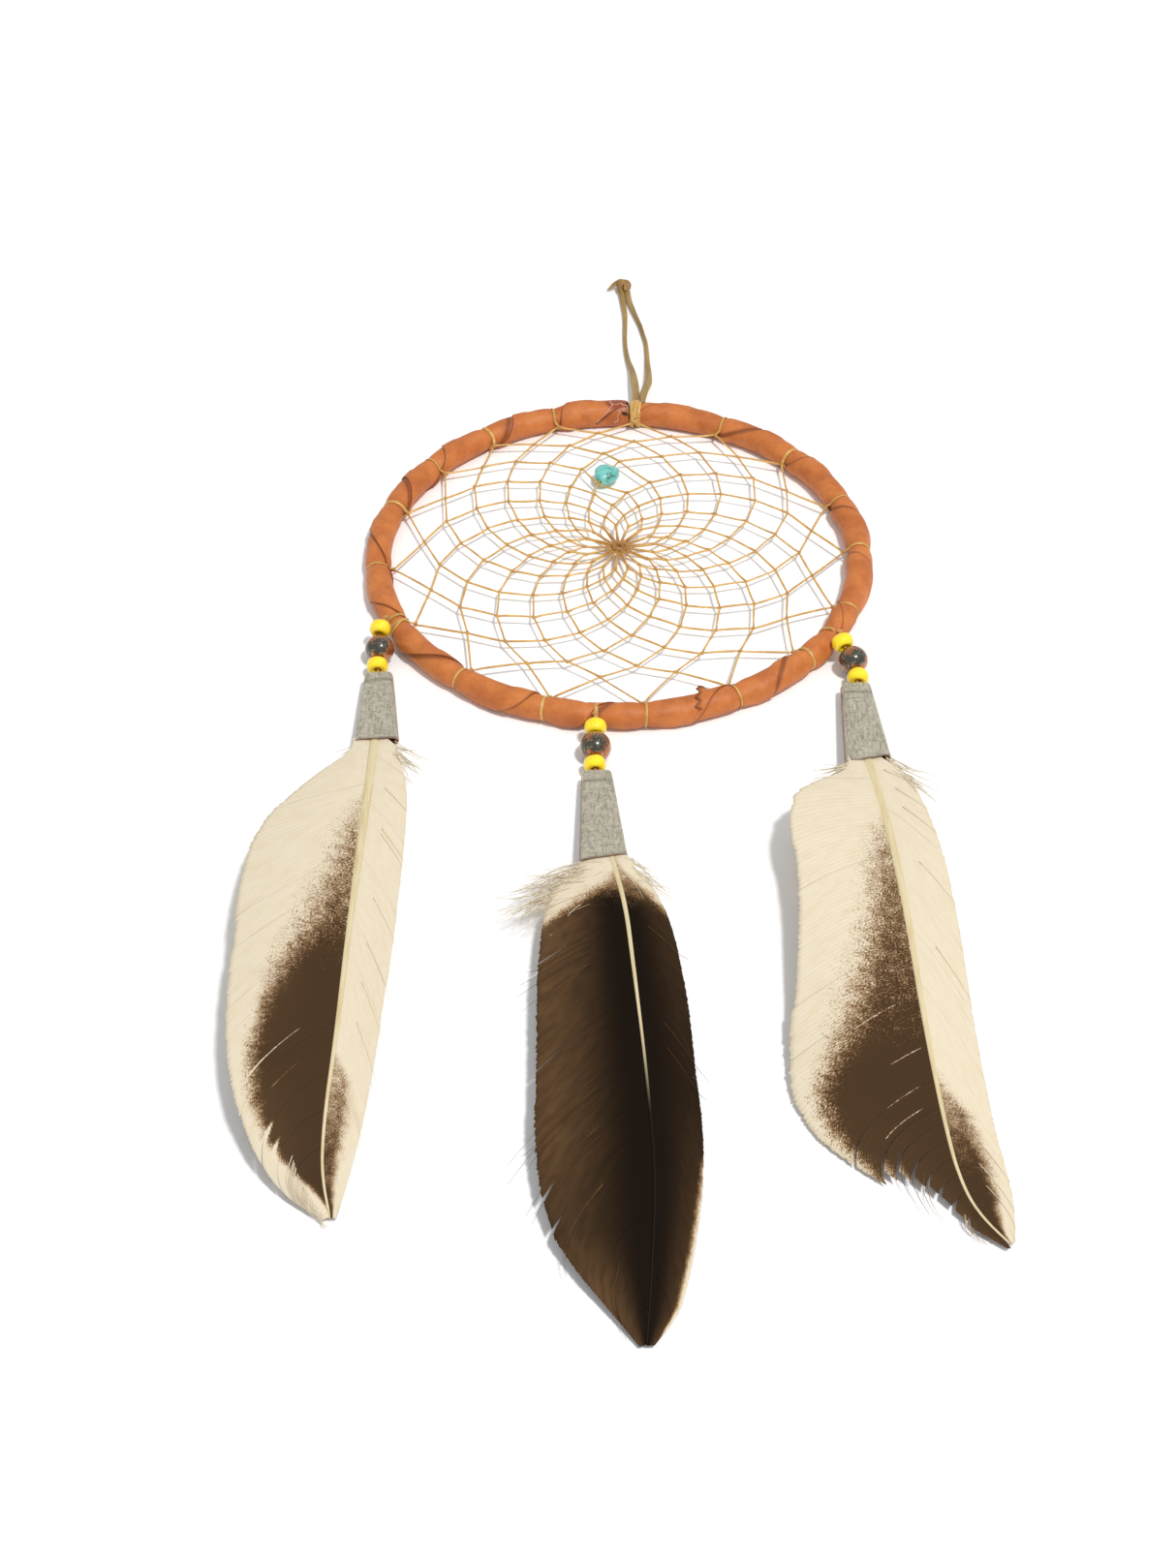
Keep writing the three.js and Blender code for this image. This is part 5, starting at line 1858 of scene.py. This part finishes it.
@dataclass
class Vane:
    """One side of a feather: barbs hooked into sheets, torn apart here and there."""

    pendant: Pendant
    side: Side
    marks: Marks
    down: Down
    lean: tuple  # (share of the length, degrees between barbs and quill)
    gaps: tuple = ()  # (root of the barbs in mm from the hoop's centre, breadth of the tear in mm, its start)
    wide_gap: float = 0.3  # greatest usual breadth of a tear at the edge, mm
    loose: int = 40  # barbs that stand out of the edge
    loose_roots: tuple[float, float] = (-300, 0)
    shoulder: float = 2.0  # how far down its full width starts, mm
    tucked: float = 6.0  # how far its first barbs start inside the sleeve, mm
    cut_short: tuple = ((-300, 1.0), (0, 1.0))  # (root of the barbs, share of their length that is left)
    spacing: float = 0.3  # mm between barbs
    columns: int = 24
    thickness: tuple[float, float] = (0.16, 0.06)  # at the quill and at the edge, mm

    def __post_init__(self) -> None:
        """Reads the vane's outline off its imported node."""
        self.node = f"{self.pendant.value}_feather_vane_{self.side.name.lower()}"
        low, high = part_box(self.node)
        self.tip, self.top = low[1] + 0.3 * MM, high[1] - 0.3 * MM
        self.levels = np.linspace(self.tip, self.top, 150)
        first, last = ends_at(self.node, self.levels)
        spine, edge = (last, first) if self.side is Side.LEFT else (first, last)
        quill = f"{self.pendant.value}_feather_quill"
        quill_low, quill_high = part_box(quill)
        within = np.clip(self.levels, quill_low[1] + 0.4 * MM, quill_high[1] - 0.4 * MM)
        spine = sum(ends_at(quill, within)) / 2
        shoulder = self.levels > self.top - self.shoulder * MM
        widest = np.argmax(np.abs(edge[shoulder, 0] - spine[shoulder, 0]))
        edge[len(edge) - shoulder.sum() + widest:] = edge[shoulder][widest]
        self.spine, self.edge = evened(spine), evened(edge, 3)
        self.random = np.random.default_rng(11 + len(self.node) * 3 + self.side.value)

    def spine_at(self, y: Any) -> np.ndarray:
        """Points where the barbs leave the quill, for places along Y."""
        return np.stack([np.interp(y, self.levels, self.spine[:, i]) for i in range(3)], -1)

    def edge_at(self, y: Any) -> np.ndarray:
        """Points on the vane's outer edge, for places along Y."""
        return np.stack([np.interp(y, self.levels, self.edge[:, i]) for i in range(3)], -1)

    def barb(self, root: float, out: np.ndarray) -> np.ndarray:
        """Points along one barb.

        Args:
            root: where it leaves the quill, along Y.
            out: shares of its length.

        Returns:
            (n, 3) points.
        """
        left = root - self.tip
        length = self.top - self.tip
        width = abs(self.edge_at(root)[0] - self.spine_at(root)[0])
        angle = np.interp(min(max(1 - left / length, 0), 1), *zip(*self.lean))
        sweep = width / math.tan(math.radians(angle))
        drop = left * math.tanh(sweep / max(left, 1e-6))
        y = root - drop * out**1.12
        spine, edge = self.spine_at(y), self.edge_at(y)
        points = spine + (edge - spine) * out[:, None]
        points[:, 1] = y
        inside = np.maximum(y - self.top, 0)
        points[:, 2] += 0.05 * width * 4 * out * (1 - out) - 0.14 * inside
        return points

    def clumps(self) -> list[tuple[np.ndarray, float, float]]:
        """The roots of the barbs that hang together, with the next tear's breadth and where it starts."""
        found = []
        here = self.top + self.tucked * MM
        while here > self.tip + 2 * self.spacing * MM:
            size = int(self.random.integers(30, 110))
            roots = here - np.arange(size + 1) * self.spacing * MM
            roots = roots[roots > self.tip]
            if len(roots) < 3:
                break
            tear = self.wide_gap * self.random.random() ** 3
            start = self.random.uniform(0.5, 0.9)
            for place, breadth, opens in self.gaps:
                split = LAYOUT.centre[1] + place * MM
                if roots[-1] <= split < roots[0] - 3 * self.spacing * MM:
                    roots = roots[roots >= split]
                    tear, start = breadth, opens
            found.append((roots, tear * MM, start))
            here = roots[-1]
        return found

    def draw(self, draft: Draft) -> None:
        """Adds the vane's sheets to draft."""
        out = np.linspace(0, 1, self.columns)
        number = 0
        for roots, tear, start in self.clumps():
            middle = (roots[0] + roots[-1]) / 2
            half = max((roots[0] - roots[-1]) / 2, 1e-6)
            squeeze = max(1 - tear / 2 / half, 0.35)
            lift = self.random.uniform(-0.03, 0.04) * MM
            place = (middle - LAYOUT.centre[1]) / MM
            left = np.interp(place, *zip(*sorted(self.cut_short)))
            reach = left * (1 - 0.02 * self.random.random() ** 2)
            tops, values = [], []
            for root in roots:
                opened = smoothstep(start, 1.0, out)[:, None]
                own = self.barb(root, out * reach * (1 + 0.006 * self.random.standard_normal()))
                centre = self.barb(middle, out * reach)
                points = own + opened * (1 - squeeze) * (centre - own) * 0.8
                ridge = 0.012 * math.sin(number * 2.1) + 0.012 * self.random.standard_normal()
                points[:, 2] += lift * opened[:, 0] + ridge * MM * smoothstep(0, 0.1, out)
                tops.append(points)
                values.append(self._value(root, out, points[:, 1], number))
                number += 1
            top = np.array(tops)
            thick = np.interp(out, [0, 1], self.thickness) * MM
            bottom = top - thick[None, :, None] * UP
            rings = np.concatenate([top, bottom[:, ::-1]], 1)
            rings[..., 2] = np.maximum(rings[..., 2], 0.05 * MM)
            columns = {name: np.array([v[name] for v in values]) for name in values[0]}
            spread = {name: np.concatenate([c, c[:, ::-1]], 1) for name, c in columns.items()}
            draft.rings(rings, **spread)
        self._loose_barbs(draft)
        self._down(draft)

    def _value(self, root: float, out: np.ndarray, y: np.ndarray, number: float) -> dict[str, np.ndarray]:
        """Vertex values along one barb."""
        place = (y - LAYOUT.centre[1]) / MM
        limits, reaches = zip(*sorted(self.marks.brown))
        solid = np.interp(place, *zip(*sorted(self.marks.solid)))
        crisp = 1 + 3 * np.clip(solid - 0.3, 0, 1)
        brown = np.minimum((np.interp(place, limits, reaches) - out) * crisp, solid)
        from_root = (root - LAYOUT.centre[1]) / MM
        for where, half, near, far, amount in self.marks.streaks:
            bare = smoothstep(near - 0.03, near + 0.05, out) * smoothstep(far + 0.05, far - 0.03, out)
            brown = brown - amount * bare * math.exp(-(((from_root - where) / half) ** 2))
        limits, palest = zip(*sorted(self.marks.washed))
        pale = np.interp(place, limits, palest) * smoothstep(0.15, 0.95, out)
        return {
            "brown": np.clip(brown, -1, 1), "barb": np.full(len(out), number * 0.5),
            "reach": out, "pale": pale,
        }

    def _wisp(self, draft: Draft, points: np.ndarray, radius: float, brown: float) -> None:
        """Adds one hair-thin barb to draft."""
        path = smooth_path(points, 3)
        path[:, 2] = np.maximum(path[:, 2], 0.12 * MM)
        size = np.linspace(radius, radius * 0.3, len(path)) * MM
        draft.tube(path, size, 4, brown=brown, barb=float(self.random.random() * 90), reach=0.5, pale=0.8)

    def _loose_barbs(self, draft: Draft) -> None:
        """Adds barbs that have come out of their sheets."""
        limits, reaches = zip(*sorted(self.marks.brown))
        low = max(self.tip + 1.5 * MM, LAYOUT.centre[1] + self.loose_roots[0] * MM)
        high = min(self.top, LAYOUT.centre[1] + self.loose_roots[1] * MM)
        for _ in range(self.loose):
            root = self.random.uniform(low, high)
            shares = np.array([0.45, 0.7, 0.88, 1.0, 1.05 + 0.06 * self.random.random()])
            points = self.barb(root, shares)
            points[-1] += (points[-1] - points[-2]) * self.random.uniform(0.4, 1.5)
            points[-1, 1] += self.random.uniform(-1.2, 1.8) * MM
            points[:, 2] += 0.25 * MM
            place = (points[3, 1] - LAYOUT.centre[1]) / MM
            depth = np.interp(place, limits, reaches) - 0.95
            self._wisp(draft, points, 0.1, float(np.clip(depth, -1, 1)))

    def _down(self, draft: Draft) -> None:
        """Adds the soft barbs at the foot."""
        for _ in range(self.down.count):
            root = self.top - self.random.uniform(*self.down.roots) * MM
            across = self.edge_at(root) - self.spine_at(root)
            start = self.spine_at(root) + across * self.random.uniform(*self.down.out)
            start[1] = root
            turn = math.radians(self.random.uniform(*self.down.spread))
            length = self.random.uniform(*self.down.length) * MM
            bend = self.random.uniform(-0.55, 0.3)
            points = [start]
            for step in range(6):
                share = (step + 1) / 6
                heading = turn + bend * share
                move = np.array(
                    [self.side.value * math.sin(heading), -math.cos(heading), self.random.uniform(-0.25, 0.2)]
                )
                points.append(points[-1] + move * length / 6)
            self._wisp(draft, np.array(points), self.down.radius * self.random.uniform(0.6, 1.3), -1.0)


@dataclass
class Feather:
    """A pendant's feather: the quill and its two vanes."""

    pendant: Pendant
    left: Vane
    right: Vane
    root: float = 1.0  # half width of the quill at the sleeve, mm
    waist: float = 0.62  # and a third of the way down
    tip: float = 0.26
    darkens: tuple[float, float] = (2.0, 3.0)  # share of the length over which the quill turns black
    flatness: float = 0.55

    def make(self, finishes: Finishes) -> None:
        """Builds the quill and the vanes.

        Args:
            finishes: the object's materials.
        """
        name = self.pendant.value
        self._quill(finishes)
        is_brown = self.pendant is Pendant.MIDDLE
        finish = finishes.brown_vane if is_brown else finishes.cream_vane
        slot = Slot.BROWN if is_brown else Slot.CREAM
        for vane in (self.left, self.right):
            draft = Draft()
            vane.draw(draft)
            side = vane.side.name.lower()
            piece = draft.build(f"{name}_vane_{side}_barbs", [finish])
            install(piece, f"{name}_drop", slot, vane.node)

    def _quill(self, finishes: Finishes) -> bpy.types.Object:
        """Builds the tapered quill."""
        name = self.pendant.value
        node = f"{name}_feather_quill"
        low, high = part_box(node)
        levels = np.linspace(high[1] - 0.3 * MM, low[1] + 0.4 * MM, 110)
        first, last = ends_at(node, levels)
        path = evened((first + last) / 2, 3)
        share = np.linspace(0, 1, len(path))
        mouth = (levels[0] - self.left.top) / (levels[0] - levels[-1])
        half = np.interp(share, [0, mouth, 0.5, 1], [0.8, self.root, self.waist, self.tip]) * MM
        half[-1] *= 0.4
        path[:, 2] += 0.12 * MM - half * self.flatness * 0.45
        dark = smoothstep(*self.darkens, (share - mouth) / (1 - mouth))
        draft = Draft()
        draft.tube(path, half, 14, flatness=self.flatness, start=UP, dark=dark)
        piece = draft.build(f"{name}_quill_horn", [finishes.quill])
        return install(piece, f"{name}_drop", Slot.QUILL, node)


def left_feather() -> Feather:
    """The cream feather with a dark wedge low down on its left."""
    left = Vane(
        Pendant.LEFT, Side.LEFT,
        Marks(
            ((-98, -0.3), (-104, -0.04), (-110, 0.1), (-118, 0.18), (-134, 0.26), (-148, 0.38), (-165, 0.6),
             (-178, 0.72), (-193, 0.82), (-206, 0.86), (-215, 0.8), (-221, 0.6), (-226, 0.25), (-230, 0.0)),
            ((-178.5, 0.14, 0.3, 0.82, 0.9), (-188.5, 0.12, 0.28, 0.6, 0.8), (-192, 0.25, 0.1, 0.5, 0.3),
             (-197, 0.8, 0.6, 1.0, 0.5), (-203, 0.8, 0.55, 1.0, 0.5)),
            ((-232, 0.45), (-212, 0.4), (-195, 0.1), (-170, 0.45), (-100, 0.6)),
            ((-300, 1.0), (-180, 0.75), (-166, 0.45), (-150, 0.24), (-125, 0.1), (-104, -0.02)),
        ),
        Down(10, (4, 8), (30, 60), (0, 4), (0.3, 1.0), 0.16), ((0, 62), (0.5, 46), (1, 34)),
        ((-206, 1.2, 0.75),), loose=26, loose_roots=(-232, -208),
    )
    right = Vane(
        Pendant.LEFT, Side.RIGHT,
        Marks(
            ((-186, -0.3), (-192, 0.02), (-194, 0.16), (-197, 0.46), (-205, 0.6), (-217, 0.6), (-232, 0.5)),
            solid=((-232, 0.6), (-223, 0.32), (-208, 0.2), (-194, 0.08), (0, 0.0)),
        ),
        Down(26, (5, 12), (28, 66), (-1, 6), (0.6, 1.05), 0.2), ((0, 40), (0.5, 28), (1, 22)), loose=8,
    )
    return Feather(Pendant.LEFT, left, right, root=1.55, waist=0.8)


def middle_feather() -> Feather:
    """The dark brown feather with a downy cream foot."""
    left = Vane(
        Pendant.MIDDLE, Side.LEFT,
        Marks(
            ((-124, -0.7), (-128, -0.3), (-132, 0.0), (-136, 0.28), (-141, 0.55), (-147, 0.85), (-154, 1.15),
             (-162, 1.5), (-264, 1.5)),
            (), ((-264, 0.75), (-252, 0.9), (-238, 0.5), (-215, 0.85), (-185, 0.8), (-150, 1.0), (-130, 1.0)),
            ((-300, 1.5), (-158, 1.5), (-147, 0.7), (-138, 0.3), (-127, 0.05)),
        ),
        Down(190, (8, 22), (50, 88), (-2, 12), (0.1, 1.0), 0.12), ((0, 66), (0.4, 46), (1, 38)),
        ((-213, 2.6, 0.86), (-176, 0.5, 0.5)), loose=16, loose_roots=(-262, -135),
    )
    right = Vane(
        Pendant.MIDDLE, Side.RIGHT,
        Marks(
            ((-123, -0.3), (-127, 0.05), (-132, 0.35), (-138, 0.7), (-144, 1.0), (-152, 1.3), (-162, 1.5),
             (-212, 1.5), (-219, 1.06), (-232, 0.98), (-250, 0.93), (-260, 0.93), (-264, 1.2)),
            (), ((-264, 0.55), (-235, 0.35), (-200, 0.1), (-150, 0.3), (-128, 0.9)),
            ((-300, 1.5), (-158, 1.5), (-147, 0.6), (-138, 0.25), (-127, 0.02)),
        ),
        Down(60, (5, 12), (30, 66), (-2, 8), (0.1, 1.0), 0.12), ((0, 44), (0.4, 33), (1, 28)), loose=3,
    )
    return Feather(Pendant.MIDDLE, left, right, root=0.68, waist=0.34, tip=0.16, darkens=(0.38, 0.6))


def right_feather() -> Feather:
    """The cream feather with a large dark patch on its left and a small one at its tip."""
    left = Vane(
        Pendant.RIGHT, Side.LEFT,
        Marks(
            ((-110, -0.3), (-116, -0.06), (-122, 0.14), (-137, 0.28), (-156, 0.42), (-170, 0.55),
             (-183, 0.66), (-193, 0.78), (-201, 0.88), (-212, 0.93), (-220, 0.97), (-226, 1.15), (-242, 1.1)),
            ((-190, 0.1, 0.05, 0.3, 0.6), (-199, 0.12, 0.1, 0.4, 0.8), (-204.5, 0.16, 0.12, 0.55, 1.0),
             (-176, 0.12, 0.2, 0.5, 0.4)),
            ((-242, 0.3), (-208, 0.15), (-196, 0.1), (-180, 0.5), (-110, 0.7)),
            ((-300, 1.0), (-200, 0.75), (-187, 0.4), (-170, 0.27), (-145, 0.2), (-126, 0.08), (-116, -0.02)),
        ),
        Down(30, (5, 14), (48, 84), (-1, 4), (0.3, 1.0), 0.17), ((0, 66), (0.3, 60), (0.8, 56), (1, 50)),
        ((-206, 1.2, 0.6), (-210, 1.2, 0.4), (-214.5, 1.3, 0.45), (-219, 1.4, 0.35), (-223, 1.2, 0.4),
         (-227.5, 1.3, 0.35), (-232, 1.2, 0.35)),
        cut_short=((-300, 0.7), (-236, 0.7), (-228, 0.5), (-222, 0.5), (-216, 0.62), (-211, 0.72),
                   (-207, 0.86), (-203, 1.0), (0, 1.0)),
        loose=12, loose_roots=(-240, -208),
    )
    right = Vane(
        Pendant.RIGHT, Side.RIGHT,
        Marks(
            ((-192, -0.3), (-198, 0.04), (-203, 0.28), (-208, 0.56), (-219, 0.7), (-229, 0.7), (-236, 0.5),
             (-241, 0.3)),
            solid=((-300, 0.8), (-226, 0.5), (-214, 0.26), (-205, 0.12), (-198, 0.03), (0, -0.02)),
        ),
        Down(26, (7, 16), (22, 58), (-2, 5), (0.7, 1.05), 0.22), ((0, 40), (0.5, 27), (1, 24)),
        ((-160, 0.8, 0.7),), loose=8,
    )
    return Feather(Pendant.RIGHT, left, right, root=1.5, waist=0.85)


# ---- Assembly --------------------------------------------------------------------------------------

LAYOUT = HoopLayout()


def main() -> None:
    """Builds the studio and every piece, and logs each piece's face count."""
    logging.basicConfig(level=logging.INFO, format="%(name)s: %(message)s")
    studio = Studio()
    studio.camera(LAYOUT.centre)
    studio.floor(LAYOUT.centre)
    studio.lights(LAYOUT.centre)

    finishes = Finishes()
    HangingLoop(LAYOUT).make(finishes)
    Core(LAYOUT).make(finishes)
    wrap = LeatherWrap(LAYOUT)
    wrap.make(finishes)
    Web(LAYOUT, wrap).make(finishes)
    sinew = SinewTurns(LAYOUT, wrap)
    sinew.lashing(finishes)
    for number in range(1, len(LAYOUT.turns)):
        sinew.hitch(number, finishes)
    Chip().make(finishes)
    cut_sides = {Pendant.LEFT: Side.RIGHT, Pendant.MIDDLE: Side.LEFT, Pendant.RIGHT: Side.LEFT}
    for pendant, cut_side in cut_sides.items():
        sinew.tie(pendant, finishes)
        BeadString(pendant, 4.25 if pendant is Pendant.MIDDLE else 4.1).make(finishes)
        Sleeve(pendant, cut_side).make(finishes)
    for feather in (left_feather(), middle_feather(), right_feather()):
        feather.make(finishes)


if __name__ == "__main__":
    main()
